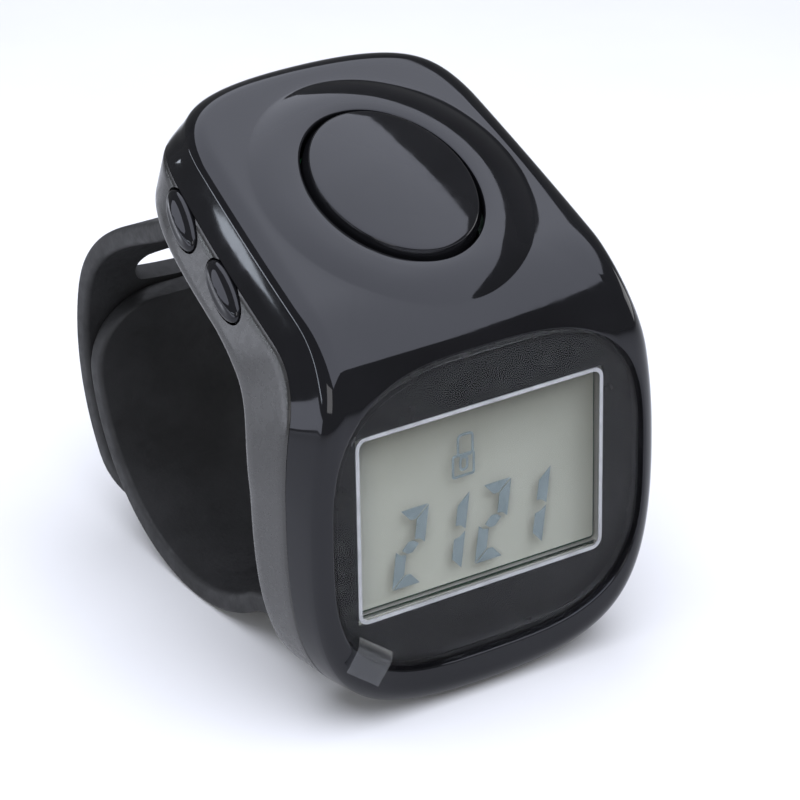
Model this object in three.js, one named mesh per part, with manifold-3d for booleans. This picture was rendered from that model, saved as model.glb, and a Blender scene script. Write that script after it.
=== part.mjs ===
// Finger-worn digital tally counter, millimetres, +Z up, display towards -Y.
// The case is a slab bent round the finger: a level top with the big count
// button, a bend, and a face with the display. Two silicone straps close the
// ring under it. It stands as it lies on a table, on its chin and its strap.
import * as THREE from 'three';
import { mergeVertices } from 'three/addons/utils/BufferGeometryUtils.js';
import Module from 'manifold-3d';

const wasm = await Module();
wasm.setup();

// Case, measured over its outer surface
const bodyWidth = 28;
const lowerRearWidth = 24.2;
const upperRearWidth = 21.4;
const upperWaistWidth = 22.9;
const upperFaceWidth = 26.1;
const rearCorner = 6.5;
const waistFromRear = 21;
const widestFromRear = 33.5;
const topLength = 24.5;
const faceLength = 25.3;
const bendAngle = THREE.MathUtils.degToRad(65);
const bendRadius = 8;
const topThickness = 6;
const faceThickness = 6.2;
const saddleRadius = 9;
const edgeRunIn = 3.2;
const edgeDrop = 1.5;
const partingDepth = 1.7;
const partingGap = 0.06;
const endDraft = 0.5;
const saddleEdge = 0.7;
const wall = 1.1;
const floorWall = 1;

// Fits
const slideFit = 0.2;
const seatGap = 0.05;
const cutOver = 1;

// Count button and the raised pad round it
const buttonFromRear = 12.5;
const buttonWidth = 10.6;
const buttonLength = 12.8;
const buttonCrown = 0.3;
const buttonProud = 0.38;
const buttonDraft = 0.13;
const buttonRim = 0.18;
const buttonSkirt = 1.1;
const buttonFlange = 0.6;
const buttonFlangeThickness = 0.3;
const buttonTravel = 0.5;
const padWidth = 17.6;
const padLength = 19.3;
const padHeight = 0.4;
const padShoulder = 0.76;
const padSegments = 40;
const collarDepth = 1.25;
const collarWidth = 1.4;
const plungerRadius = 1.5;

// Side buttons, centred between the parting line and the finger saddle
const sideButtonFromRear = [8.1, 14.4];
const sideButtonLength = 4.6;
const sideButtonHeight = 1.9;
const sideButtonDepth = 3.05;
const sideButtonProud = 0.35;
const sideButtonRidge = 0.3;
const sideButtonTilt = THREE.MathUtils.degToRad(8);
const sideButtonTravel = 0.35;
const sideButtonLip = 0.4;
const lipWidth = 0.3;

// Display window
const displayFromCorner = 12.1;
const lensWidth = 22.9;
const lensHeight = 20.4;
const lensSquareness = 3.16;
const lensThickness = 1;
const lensRecess = 0.35;
const ledgeThickness = 0.4;
const ledgeWidth = 1.2;
const borderWidth = lensWidth - 4.6;
const borderHeight = lensHeight - 7.7;
const borderLine = 0.35;
const borderCorner = 0.7;
const printThickness = 0.08;
const tapeThickness = 0.1;
const filmThickness = 0.08;
const filmInset = 0.25;
const filmTabRoot = [-7.9, -6.9];
const filmTabWidth = 2.6;
const filmTabLength = 3.5;
const filmTabLift = THREE.MathUtils.degToRad(16);
const filmTabTurn = THREE.MathUtils.degToRad(38);

// Liquid crystal cell, from the front to the back
const glassWidth = 20;
const windowClear = 0.3;
const glassBeyondWindow = 0.15;
const contactLedge = 1.4;
const glassThickness = 0.5;
const polariserThickness = 0.15;
const polariserInset = 0.3;
const zebraWidth = 0.9;
const holderWall = 0.5;
const holderGap = 0.1;

// Circuit boards
const displayBoardDepth = 3.95;
const displayBoardThickness = 0.5;
const displayBoardCorner = 1;
const switchBoardThickness = 0.4;
const switchBoardWidth = upperRearWidth - 4.8;
const switchBoardLength = 9.2;
const switchBoardShift = 1.3;
const domeRadius = 2.4;
const domeHeight = 0.25;
const sideSwitchLength = 3.2;
const sideSwitchHeight = 1.5;
const sideSwitchDepth = 1.4;
const chipRadius = 2.4;
const chipHeight = 0.45;
const crystalRadius = 0.25;
const crystalLength = 2.6;
const capacitorSize = [1, 0.6, 0.35];
const flexWidth = 5;
const flexThickness = 0.12;

// Button cell under the switch board, and its door in the finger saddle
const cellRadius = 4.75;
const cellHeight = 2.05;
const cellRim = 0.5;
const cellFromRear = 12.1;
const cellGap = 0.2;
const contactThickness = 0.12;
const contactWidth = 2.4;
const doorWidth = 12.4;
const doorPlate = 0.8;
const doorRearGap = 0.5;
const doorEnd = THREE.MathUtils.degToRad(40);
const doorScrewTurn = THREE.MathUtils.degToRad(29);
const doorPad = 0.55;
const wellHeight = 2.4;

// Screws
const screwHeadRadius = 1.1;
const screwHeadHeight = 0.5;
const screwRadius = 0.55;
const caseScrewLength = 3.6;
const screwRecess = 0.3;
const doorScrewLength = 1.5;
const doorScrewHead = 0.3;
const doorScrewSunk = 0.1;
const bossWall = 0.85;
const rearBossSpread = upperRearWidth / 2 - 3.1;
const rearBossFromRear = 3.9;
const chinBossSpread = upperFaceWidth / 2 - 4.05;
const chinBossFromDisplay = 9.4;
const bossSplitDepth = 3.3;
const boardPostRadius = 0.7;

// Straps
const strapWidth = 18;
const strapThickness = 1.4;
const strapGap = 0.15;
const strapEdge = 0.3;
const fingerRadius = 11.9;
const fingerBehindBend = 13.5;
const fingerBelowTop = 19;
const upperAnchorFromRear = 4.5;
const upperAnchorDepth = 4.1;
const lowerAnchorFromDisplay = 9.5;
const lowerAnchorDepth = 4.3;
const anchorRadius = 1.3;
const anchorWall = 0.6;
const anchorGrip = 0.5;
const neckWidth = 12;
const shoulderClear = 1.2;
const upperArcStart = THREE.MathUtils.degToRad(-10);
const upperArcEnd = THREE.MathUtils.degToRad(-82);
const lowerArcStart = THREE.MathUtils.degToRad(-147);
const lowerArcEnd = THREE.MathUtils.degToRad(-11);
const upperTipRadius = 6;
const lowerTipRadius = 5;
const slotWidth = 12.4;
const slotHeight = 3.4;
const slotPitch = THREE.MathUtils.degToRad(22);
const firstSlot = THREE.MathUtils.degToRad(-3);
const slotCount = 3;
const peggedSlot = 1;
const pegWidth = 10.5;
const pegThickness = 1;
const pegHeight = 1.25;
const pegEnd = 0.2;
const upperSwing = THREE.MathUtils.degToRad(30);
const lowerSwing = THREE.MathUtils.degToRad(6);

// Colours
const glossBlack = { color: 0x0b0b0d, roughness: 0.12, metalness: 0 };
const satinBlack = { color: 0x141416, roughness: 0.35, metalness: 0 };
const rubberBlack = { color: 0x1b1b1d, roughness: 0.7, metalness: 0 };
const clearPlastic = { color: 0xd9dee0, roughness: 0.05, metalness: 0 };
const lcdGrey = { color: 0xa9ada0, roughness: 0.3, metalness: 0 };
const silverInk = { color: 0xd4d6d8, roughness: 0.4, metalness: 0.3 };
const boardGreen = { color: 0x1f5a34, roughness: 0.5, metalness: 0 };
const steel = { color: 0xb4b6b8, roughness: 0.3, metalness: 1 };
const brass = { color: 0xc9a24e, roughness: 0.3, metalness: 1 };
const whitePlastic = { color: 0xe6e4dc, roughness: 0.6, metalness: 0 };
const amberFilm = { color: 0xb06a1e, roughness: 0.5, metalness: 0 };

// The side view: y and z of a point at run s over the outer surface and depth n
const bendTangent = bendRadius * Math.tan(bendAngle / 2);
const bendStart = topLength - bendTangent;
const bendEnd = bendStart + bendRadius * bendAngle;
const fullRun = bendEnd + faceLength - bendTangent;
const faceCos = Math.cos(bendAngle);
const faceSin = Math.sin(bendAngle);

function outerPoint(x, s, n) {
  if (s <= bendStart) return new THREE.Vector3(x, topLength - s, -n);
  if (s < bendEnd) {
    const turn = (s - bendStart) / bendRadius;
    const reach = bendRadius - n;
    return new THREE.Vector3(x, bendTangent - reach * Math.sin(turn), -bendRadius + reach * Math.cos(turn));
  }
  const down = s - bendEnd + bendTangent;
  return new THREE.Vector3(x, -down * faceCos + n * faceSin, -down * faceSin - n * faceCos);
}

// The finger saddle: level, an arc, and a straight behind the display
const saddleCornerRun = (topThickness - faceThickness * faceCos) / faceSin;
const saddleCornerY = faceThickness * faceSin - saddleCornerRun * faceCos;
const saddleTangent = saddleRadius * Math.tan(bendAngle / 2);
const saddleStart = topLength - saddleCornerY - saddleTangent;
const saddleEnd = bendEnd - bendTangent + saddleCornerRun + saddleTangent;
const saddleCentre = new THREE.Vector2(saddleCornerY + saddleTangent, -topThickness - saddleRadius);

function saddlePoint(x, s, lift) {
  if (s <= saddleStart) return new THREE.Vector3(x, topLength - s, -topThickness + lift);
  if (s < saddleEnd) {
    const turn = bendAngle * (s - saddleStart) / (saddleEnd - saddleStart);
    const reach = saddleRadius + lift;
    return new THREE.Vector3(x, saddleCentre.x - reach * Math.sin(turn), saddleCentre.y + reach * Math.cos(turn));
  }
  return outerPoint(x, s, faceThickness - lift);
}

// The case seen square on, unrolled, as half-widths against the run from the rear.
// Its side walls flare from the parting line to a wider outline at the finger saddle.
function outlineCurves({ rear, waist, widest, swell, draft }) {
  const end = fullRun - draft;
  const behindWaist = waistFromRear - 5.5;
  const pastWaist = waistFromRear + 4.5;
  const chinPull = 2 * widest - swell + 0.2;
  return [
    [[0, draft], [0.79 * rear, draft], [rear - 0.5, 1.9 + draft], [rear, rearCorner]],
    [[rear, rearCorner], [rear + 0.3, rearCorner + 4], [waist - 0.15, behindWaist], [waist, waistFromRear]],
    [[waist, waistFromRear], [waist + 0.15, pastWaist], [swell, widestFromRear - 5.5], [widest, widestFromRear]],
    [[widest, widestFromRear], [chinPull, end - 3], [0.82 * widest, end], [0, end]],
  ];
}

const outlineSteps = [8, 6, 8, 9];
const upperOutline = outlineCurves({
  rear: upperRearWidth / 2,
  waist: upperWaistWidth / 2,
  widest: upperFaceWidth / 2,
  swell: upperFaceWidth / 2 - 0.2,
  draft: 0,
});
const lowerOutline = outlineCurves({
  rear: lowerRearWidth / 2,
  waist: bodyWidth / 2 - 0.9,
  widest: bodyWidth / 2 - 0.1,
  swell: bodyWidth / 2 + 0.3,
  draft: endDraft,
});
const lowerRim = partingDepth + partingGap;
const flareRoom = topThickness - saddleEdge - lowerRim;
const flareShare = (depth) => THREE.MathUtils.clamp((depth - lowerRim) / flareRoom, 0, 1);

// One side of the outline set in by a distance, then its mirror image
function outline(inset, share = 0) {
  const right = [];
  outlineSteps.forEach((steps, k) => {
    const curve = new THREE.CubicBezierCurve(...upperOutline[k].map((point, i) => (
      new THREE.Vector2(...point).lerp(new THREE.Vector2(...lowerOutline[k][i]), share))));
    for (let i = 0; i < steps; i += 1) {
      const point = curve.getPoint(i / steps);
      const tangent = curve.getTangent(i / steps);
      right.push([point.x - tangent.y * inset, point.y + tangent.x * inset]);
    }
  });
  right[0][0] = 0;
  right.push([0, fullRun - share * endDraft - inset]);
  const left = right.slice(1, -1).reverse().map(([x, s]) => [-x, s]);
  return right.concat(left);
}

// Joins loops of points into one closed skin, with a ladder of strips as each cap
function skin(loops) {
  const count = loops[0].length;
  const positions = loops.flat().flatMap((point) => point.toArray());
  const index = [];
  const ladder = (start, flip) => {
    const face = (a, b, c) => index.push(...(flip ? [a, c, b] : [a, b, c]).map((i) => start + i));
    face(0, 1, count - 1);
    for (let i = 1; i < count / 2 - 1; i += 1) {
      face(i, i + 1, count - i);
      face(i + 1, count - i - 1, count - i);
    }
    face(count / 2 - 1, count / 2, count / 2 + 1);
  };
  ladder(0, true);
  loops.slice(1).forEach((_, level) => {
    for (let i = 0; i < count; i += 1) {
      const j = (i + 1) % count;
      const top = level * count;
      const low = top + count;
      index.push(top + i, top + j, low + i, top + j, low + j, low + i);
    }
  });
  ladder((loops.length - 1) * count, false);
  const geometry = new THREE.BufferGeometry();
  geometry.setAttribute('position', new THREE.Float32BufferAttribute(positions, 3));
  geometry.setIndex(index);
  return geometry;
}

// Solids for joining and cutting
function solid(source) {
  const geometry = source.clone();
  geometry.deleteAttribute('normal');
  geometry.deleteAttribute('uv');
  const merged = mergeVertices(geometry, 1e-5);
  const result = new wasm.Manifold(new wasm.Mesh({
    numProp: 3,
    vertProperties: new Float32Array(merged.attributes.position.array),
    triVerts: new Uint32Array(merged.index.array),
  }));
  if (result.volume() <= 0) throw new Error('a solid is inside out');
  return result;
}

function toGeometry(body) {
  const mesh = body.getMesh();
  const geometry = new THREE.BufferGeometry();
  geometry.setAttribute('position', new THREE.BufferAttribute(new Float32Array(mesh.vertProperties), 3));
  geometry.setIndex(new THREE.BufferAttribute(new Uint32Array(mesh.triVerts), 1));
  const plain = geometry.toNonIndexed();
  plain.computeVertexNormals();
  return plain;
}

const placed = (geometry, matrix) => solid(geometry.clone().applyMatrix4(matrix));
const addAll = (body, tools) => tools.reduce((sum, tool) => sum.add(tool), body);
const cutAll = (body, tools) => tools.reduce((rest, tool) => rest.subtract(tool), body);

// Frames: the button's on the top plane, the display's on the face, the cell's on the saddle
const topFrame = new THREE.Matrix4().makeTranslation(0, topLength - buttonFromRear, 0);
const faceFrame = new THREE.Matrix4().makeRotationX(bendAngle)
  .setPosition(0, -displayFromCorner * faceCos, -displayFromCorner * faceSin);
const cellFrame = new THREE.Matrix4().makeTranslation(0, topLength - cellFromRear, -topThickness);
const doorScrewFrame = new THREE.Matrix4().makeRotationX(doorScrewTurn).setPosition(
  0,
  saddleCentre.x - saddleRadius * Math.sin(doorScrewTurn),
  saddleCentre.y + saddleRadius * Math.cos(doorScrewTurn),
);

// Depths under the button, from the top down
const flangeTop = -collarDepth - seatGap;
const flangeLow = flangeTop - buttonFlangeThickness;
const switchBoardTop = flangeLow - buttonTravel - 2 * seatGap;
const switchBoardLow = switchBoardTop - switchBoardThickness;

// Depths behind the display, from the lens inwards
const lensTop = -lensRecess;
const lensLow = lensTop - lensThickness;
const printTop = lensLow - seatGap;
const tapeTop = printTop - printThickness - seatGap;
const ledgeTop = tapeTop - tapeThickness - seatGap;
const lcdTop = ledgeTop - ledgeThickness - seatGap;
const frontGlassTop = lcdTop - polariserThickness - seatGap;
const rearGlassTop = frontGlassTop - glassThickness - seatGap;
const reflectorTop = rearGlassTop - glassThickness - seatGap;
const displayBoardTop = -displayBoardDepth;
const displayBoardLow = displayBoardTop - displayBoardThickness;

// The glasses: the front one is longer, for the contacts above the picture
const rearGlassHeight = borderHeight + 2 * (windowClear + glassBeyondWindow);
const frontGlassHeight = rearGlassHeight + contactLedge;
const frontGlassShift = contactLedge / 2;
const holderWidth = glassWidth + 2 * (holderGap + holderWall);
const holderHeight = frontGlassHeight + 2 * (holderGap + holderWall);

// Plain shapes, standing on z from low to high
function block(width, length, low, high) {
  return new THREE.BoxGeometry(width, length, high - low).translate(0, 0, (low + high) / 2);
}

function post(radius, low, high, segments = 14) {
  return new THREE.CylinderGeometry(radius, radius, high - low, segments)
    .rotateX(Math.PI / 2).translate(0, 0, (low + high) / 2);
}

function plate(shape, low, high, curveSegments = 4) {
  return new THREE.ExtrudeGeometry(shape, { depth: high - low, bevelEnabled: false, curveSegments })
    .translate(0, 0, low);
}

function roundedShape(width, height, corner) {
  const shape = new THREE.Shape();
  const x = width / 2 - corner;
  const y = height / 2 - corner;
  shape.absarc(x, y, corner, 0, Math.PI / 2);
  shape.absarc(-x, y, corner, Math.PI / 2, Math.PI);
  shape.absarc(-x, -y, corner, Math.PI, Math.PI * 1.5);
  shape.absarc(x, -y, corner, Math.PI * 1.5, Math.PI * 2);
  return shape;
}

function ellipseShape(width, length, segments = 36) {
  const curve = new THREE.EllipseCurve(0, 0, width / 2, length / 2);
  return new THREE.Shape(curve.getPoints(segments).slice(0, -1));
}

// The lens outline: an ellipse drawn out towards a rounded rectangle
function lensShape(inset, segments = 48) {
  const points = [];
  for (let i = 0; i < segments; i += 1) {
    const turn = 2 * Math.PI * i / segments;
    const power = 2 / lensSquareness;
    const cos = Math.cos(turn);
    const sin = Math.sin(turn);
    points.push(new THREE.Vector2(
      (lensWidth / 2 - inset) * Math.sign(cos) * Math.abs(cos) ** power,
      (lensHeight / 2 - inset) * Math.sign(sin) * Math.abs(sin) ** power,
    ));
  }
  return new THREE.Shape(points);
}

function ringShape(outer, inner) {
  outer.holes.push(new THREE.Path(inner.getPoints(4)));
  return outer;
}

// A side view of y and z, drawn out across x
function acrossX(shape, width, curveSegments = 6) {
  return new THREE.ExtrudeGeometry(shape, { depth: width, bevelEnabled: false, curveSegments })
    .translate(0, 0, -width / 2).applyMatrix4(new THREE.Matrix4().makeBasis(
      new THREE.Vector3(0, 1, 0), new THREE.Vector3(0, 0, 1), new THREE.Vector3(1, 0, 0),
    ));
}

// The side view of a thin strip that follows a curve
function stripShape(curve, thickness, steps) {
  const near = [];
  const far = [];
  for (let i = 0; i <= steps; i += 1) {
    const point = curve.getPoint(i / steps);
    const tangent = curve.getTangent(i / steps);
    const side = new THREE.Vector2(-tangent.y, tangent.x).multiplyScalar(thickness / 2);
    near.push(point.clone().add(side));
    far.unshift(point.clone().sub(side));
  }
  return new THREE.Shape([...near, ...far]);
}

const point2 = ([x, y]) => new THREE.Vector2(x, y);

// Case shells
function edgeLoops(steps) {
  const loops = [];
  for (let i = 0; i <= steps; i += 1) {
    const turn = Math.PI / 2 * i / steps;
    const inset = edgeRunIn * (1 - Math.sin(turn));
    const depth = edgeDrop * (1 - Math.cos(turn));
    loops.push(outline(inset).map(([x, s]) => outerPoint(x, s, depth)));
  }
  return loops;
}

function layerLoop(inset, depth) {
  return outline(inset, flareShare(depth)).map(([x, s]) => outerPoint(x, s, depth));
}

function saddleLoop(inset, lift) {
  return outline(inset, flareShare(topThickness - lift)).map(([x, s]) => saddlePoint(x, s, lift));
}

const rearBossY = buttonFromRear - rearBossFromRear;
const bosses = [-1, 1].flatMap((side) => [
  { frame: topFrame, x: side * rearBossSpread, y: rearBossY, thickness: topThickness },
  { frame: faceFrame, x: side * chinBossSpread, y: -chinBossFromDisplay, thickness: faceThickness },
]);
const bossRadius = screwRadius + bossWall;
const screwHole = screwRadius + 0.1;

function bossTool(boss, radius, low, high) {
  return placed(post(radius, low, high).translate(boss.x, boss.y, 0), boss.frame);
}

// The raised pad: an oval that follows the top into the bend, with a soft shoulder
function buttonPad() {
  const ring = (reach, height) => {
    const points = [];
    for (let i = 0; i < padSegments; i += 1) {
      const turn = 2 * Math.PI * i / padSegments;
      const x = padWidth / 2 * reach * Math.sin(turn);
      const s = buttonFromRear - padLength / 2 * reach * Math.cos(turn);
      const intoBend = Math.max(0, s - bendStart);
      const fall = bendRadius - Math.sqrt(bendRadius ** 2 - intoBend ** 2);
      points.push(new THREE.Vector3(x, topLength - s, height - fall));
    }
    return points;
  };
  const rings = [ring(padShoulder, padHeight)];
  for (let i = 1; i <= 4; i += 1) {
    const share = i / 4;
    rings.push(ring(padShoulder + (1 - padShoulder) * share, padHeight * (1 - share ** 2)));
  }
  rings.push(ring(1, -wall / 2));
  return solid(skin(rings));
}

function upperCase() {
  const outer = solid(skin([...edgeLoops(5), layerLoop(0, partingDepth)]));
  const cavity = solid(skin([
    layerLoop(wall + 1.1, wall),
    layerLoop(wall + 0.3, wall + 0.2),
    layerLoop(wall, wall + 0.5),
    layerLoop(wall, lowerRim),
    layerLoop(wall, partingDepth + cutOver),
  ]));
  const roomInset = wall + slideFit;
  const room = solid(skin([
    layerLoop(roomInset, wall / 2),
    layerLoop(roomInset, lowerRim),
    layerLoop(roomInset, bossSplitDepth + cutOver),
  ]));
  const collar = placed(plate(
    ellipseShape(buttonWidth + 2 * (slideFit + collarWidth), buttonLength + 2 * (slideFit + collarWidth)),
    -collarDepth,
    -wall / 2,
  ), topFrame);
  const ledge = placed(
    plate(lensShape(-ledgeWidth), ledgeTop - ledgeThickness, -wall / 2),
    faceFrame,
  ).intersect(room);
  const pillars = bosses.map((boss) => bossTool(boss, bossRadius, -bossSplitDepth, -wall / 2).intersect(room));
  const buttonHole = placed(
    plate(ellipseShape(buttonWidth + 2 * slideFit, buttonLength + 2 * slideFit), -collarDepth - cutOver, cutOver),
    topFrame,
  );
  const pocket = placed(plate(lensShape(-slideFit / 2), ledgeTop, 2 * cutOver), faceFrame);
  const windowHole = placed(plate(
    roundedShape(borderWidth + 2 * windowClear, borderHeight + 2 * windowClear, borderCorner),
    ledgeTop - 2 * cutOver,
    cutOver,
  ), faceFrame);
  const screwHoles = bosses.map((boss) => bossTool(
    boss,
    screwRadius + seatGap,
    -bossSplitDepth - cutOver,
    -boss.thickness + screwRecess + screwHeadHeight + caseScrewLength + 2 * seatGap,
  ));
  return cutAll(
    addAll(outer.subtract(cavity), [buttonPad(), collar, ledge, ...pillars]),
    [buttonHole, pocket, windowHole, ...screwHoles],
  );
}

// Side buttons: frames on the left wall, with x up, y to the rear and z outwards.
// The buttons lean with the flared wall, and their switches stand upright behind them.
function wallAt(run, share) {
  const points = outline(0, share).filter(([x, s]) => x < 0 && s < bendStart);
  const next = points.findIndex(([, s]) => s < run);
  const [x1, s1] = points[next];
  const [x0, s0] = points[next - 1];
  return { x: x0 + (x1 - x0) * (s0 - run) / (s0 - s1), turn: Math.atan2(x0 - x1, s0 - s1) };
}

const sideLean = sideButtonFromRear.map((run) => (
  Math.atan((wallAt(run, 0).x - wallAt(run, 1).x) * Math.cos(wallAt(run, 0.5).turn) / flareRoom)));
const switchFrames = sideButtonFromRear.map((run) => {
  const { x, turn } = wallAt(run, flareShare(sideButtonDepth));
  return new THREE.Matrix4().makeRotationZ(turn)
    .multiply(new THREE.Matrix4().makeRotationY(-Math.PI / 2))
    .setPosition(x, topLength - run, -sideButtonDepth);
});
const sideFrames = switchFrames.map((frame, i) => (
  frame.clone().multiply(new THREE.Matrix4().makeRotationY(sideLean[i]))));

function stadium(length, height) {
  return roundedShape(height, length, height / 2 - 0.01);
}

const lipTop = -wall - slideFit - 2 * seatGap;
const tilted = (geometry) => geometry.rotateZ(-sideButtonTilt);

// The straps' middle lines in the side view, as curves of y and z
const fingerCentre = new THREE.Vector2(fingerBehindBend, -fingerBelowTop);
const lowerStrapRadius = fingerRadius + strapThickness / 2;
const upperStrapRadius = lowerStrapRadius + strapThickness + strapGap;
const upperAnchor = new THREE.Vector2(topLength - upperAnchorFromRear, -upperAnchorDepth);
const lowerSocket = new THREE.Vector3(0, -lowerAnchorFromDisplay, -lowerAnchorDepth).applyMatrix4(faceFrame);
const lowerAnchor = new THREE.Vector2(lowerSocket.y, lowerSocket.z);
const upperNeckLength = topThickness - upperAnchorDepth + shoulderClear;
const lowerNeckLength = faceThickness - lowerAnchorDepth + shoulderClear;

const onRing = (radius, turn) => new THREE.Vector2(Math.cos(turn), Math.sin(turn))
  .multiplyScalar(radius).add(fingerCentre);

function upperRoute() {
  const down = new THREE.Vector2(0, -1);
  const neck = upperAnchor.clone().addScaledVector(down, upperNeckLength);
  const start = onRing(upperStrapRadius, upperArcStart);
  const along = new THREE.Vector2(-Math.sin(upperArcStart), Math.cos(upperArcStart));
  const path = new THREE.CurvePath();
  path.add(new THREE.LineCurve(upperAnchor, neck));
  path.add(new THREE.CubicBezierCurve(
    neck, neck.clone().addScaledVector(down, 3), start.clone().addScaledVector(along, 6.6), start,
  ));
  path.add(new THREE.EllipseCurve(
    fingerCentre.x, fingerCentre.y, upperStrapRadius, upperStrapRadius, upperArcStart, upperArcEnd, true,
  ));
  return path;
}

function lowerRoute() {
  const out = new THREE.Vector2(faceSin, -faceCos);
  const neck = lowerAnchor.clone().addScaledVector(out, lowerNeckLength);
  const start = onRing(lowerStrapRadius, lowerArcStart);
  const back = new THREE.Vector2(Math.sin(lowerArcStart), -Math.cos(lowerArcStart));
  const path = new THREE.CurvePath();
  path.add(new THREE.LineCurve(lowerAnchor, neck));
  path.add(new THREE.CubicBezierCurve(
    neck, neck.clone().addScaledVector(out, 1.6), start.clone().addScaledVector(back, 2.2), start,
  ));
  path.add(new THREE.EllipseCurve(
    fingerCentre.x, fingerCentre.y, lowerStrapRadius, lowerStrapRadius, lowerArcStart, lowerArcEnd, false,
  ));
  return path;
}

// A strap: its anchor bead and narrow neck, square shoulders and a rounded tip
function strap(route, neckLength, tipRadius, rows) {
  const length = route.getLength();
  const runs = [0, neckLength - 0.35, neckLength];
  for (let i = 1; i <= rows; i += 1) runs.push(neckLength + (length - tipRadius - neckLength) * i / rows);
  for (let i = 1; i <= 5; i += 1) runs.push(length - tipRadius * (1 - Math.sin(Math.PI / 2 * i / 5)));
  const loops = runs.map((run) => {
    const u = Math.min(run / length, 1);
    const middle = route.getPointAt(u);
    const tangent = route.getTangentAt(u);
    const side = new THREE.Vector2(-tangent.y, tangent.x);
    const intoTip = Math.max(0, run - (length - tipRadius));
    const full = strapWidth / 2 - tipRadius + Math.sqrt(Math.max(0, tipRadius ** 2 - intoTip ** 2));
    const half = run < neckLength - 0.1 ? neckWidth / 2 : full;
    const t = strapThickness / 2;
    const e = strapEdge;
    const corners = [
      [half - e, t], [half, t - e], [half, e - t], [half - e, -t],
      [e - half, -t], [-half, e - t], [-half, t - e], [e - half, t],
    ];
    return corners.map(([x, d]) => new THREE.Vector3(x, middle.x + side.x * d, middle.y + side.y * d));
  });
  return loops;
}

// Loops of any shape joined end to end, with a fan over each end
function tube(loops) {
  const count = loops[0].length;
  const positions = loops.flat().flatMap((point) => point.toArray());
  const index = [];
  for (let i = 1; i < count - 1; i += 1) index.push(0, i, i + 1);
  loops.slice(1).forEach((_, level) => {
    for (let i = 0; i < count; i += 1) {
      const j = (i + 1) % count;
      const near = level * count;
      const far = near + count;
      index.push(near + i, far + i, near + j, near + j, far + i, far + j);
    }
  });
  const last = (loops.length - 1) * count;
  for (let i = 1; i < count - 1; i += 1) index.push(last, last + i + 1, last + i);
  const geometry = new THREE.BufferGeometry();
  geometry.setAttribute('position', new THREE.Float32BufferAttribute(positions, 3));
  geometry.setIndex(index);
  const body = new wasm.Manifold(new wasm.Mesh({
    numProp: 3,
    vertProperties: new Float32Array(positions),
    triVerts: new Uint32Array(index),
  }));
  if (body.volume() > 0) return geometry;
  const flipped = [];
  for (let i = 0; i < index.length; i += 3) flipped.push(index[i], index[i + 2], index[i + 1]);
  geometry.setIndex(flipped);
  return geometry;
}

function bead(anchor, radius, width) {
  return solid(new THREE.CylinderGeometry(radius, radius, width, 16)
    .rotateZ(Math.PI / 2).translate(0, anchor.x, anchor.y));
}

// A frame on the ring round the finger: y points along the strap, z away from the finger
function ringFrame(radius, turn) {
  const at = onRing(radius, turn);
  return new THREE.Matrix4().makeRotationX(turn - Math.PI / 2).setPosition(0, at.x, at.y);
}

const slotTurn = (i) => firstSlot - i * slotPitch;
const pegTurn = slotTurn(peggedSlot)
  + (slotHeight / 2 - pegThickness / 2 - pegEnd) / (lowerStrapRadius + strapThickness);

function upperStrap() {
  const band = solid(tube(strap(upperRoute(), upperNeckLength, upperTipRadius, 20)));
  const slots = Array.from({ length: slotCount }, (_, i) => placed(
    plate(roundedShape(slotWidth, slotHeight, slotHeight / 2 - 0.05), -2 * strapThickness, 2 * strapThickness, 4),
    ringFrame(upperStrapRadius, slotTurn(i)),
  ));
  return cutAll(band.add(bead(upperAnchor, anchorRadius, neckWidth)), slots);
}

function lowerStrap() {
  const band = solid(tube(strap(lowerRoute(), lowerNeckLength, lowerTipRadius, 22)));
  const peg = placed(
    plate(roundedShape(pegWidth, pegThickness, pegThickness / 2 - 0.05), -0.3, pegHeight, 4),
    ringFrame(fingerRadius + strapThickness, pegTurn),
  );
  return addAll(band, [bead(lowerAnchor, anchorRadius, neckWidth), peg]);
}

// Openings in the lower case for the straps' necks: a socket and a flared mouth
function anchorTools({ anchor, turn, thickness, depth, swing, side }) {
  const frame = new THREE.Matrix4().makeRotationX(turn).setPosition(0, anchor.x, anchor.y);
  const width = neckWidth + 2 * slideFit;
  const drop = thickness - depth;
  const half = strapThickness / 2 + slideFit / 2;
  const reach = (d) => half / Math.cos(swing) + d * Math.tan(swing);
  const mouth = new THREE.Shape([
    new THREE.Vector2(-side * half, 0),
    new THREE.Vector2(side * half, 0),
    new THREE.Vector2(side * reach(drop + cutOver), -drop - cutOver),
    new THREE.Vector2(-side * half, -drop - cutOver),
  ]);
  return [placed(acrossX(mouth, width), frame), bead(anchor, anchorRadius + slideFit / 2, width)];
}

const anchorBlocks = [{
  anchor: upperAnchor,
  turn: 0,
  thickness: topThickness,
  depth: upperAnchorDepth,
  swing: upperSwing,
  side: 1,
}, {
  anchor: lowerAnchor,
  turn: bendAngle,
  thickness: faceThickness,
  depth: lowerAnchorDepth,
  swing: lowerSwing,
  side: -1,
}];

// Posts in the lower case that carry the two boards, in the boards' frames
const switchBoardPosts = [-1, 1].flatMap((x) => [-1, 1].map((y) => [
  x * (switchBoardWidth / 2 - 2.9),
  switchBoardShift + y * (switchBoardLength / 2 - 1),
]));
const displayBoardPosts = [-1, 1].flatMap((x) => [-1, 1].map((y) => [
  x * (holderWidth / 2 - 2.2),
  frontGlassShift + y * (holderHeight / 2 - 1.6),
]));

// The cell door: flat under the cell, and curved with the saddle at its screw
const cellLift = doorPlate + seatGap;
const wellRadius = cellRadius + cellGap;
const doorRear = topLength - cellFromRear + wellRadius + doorRearGap;

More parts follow.
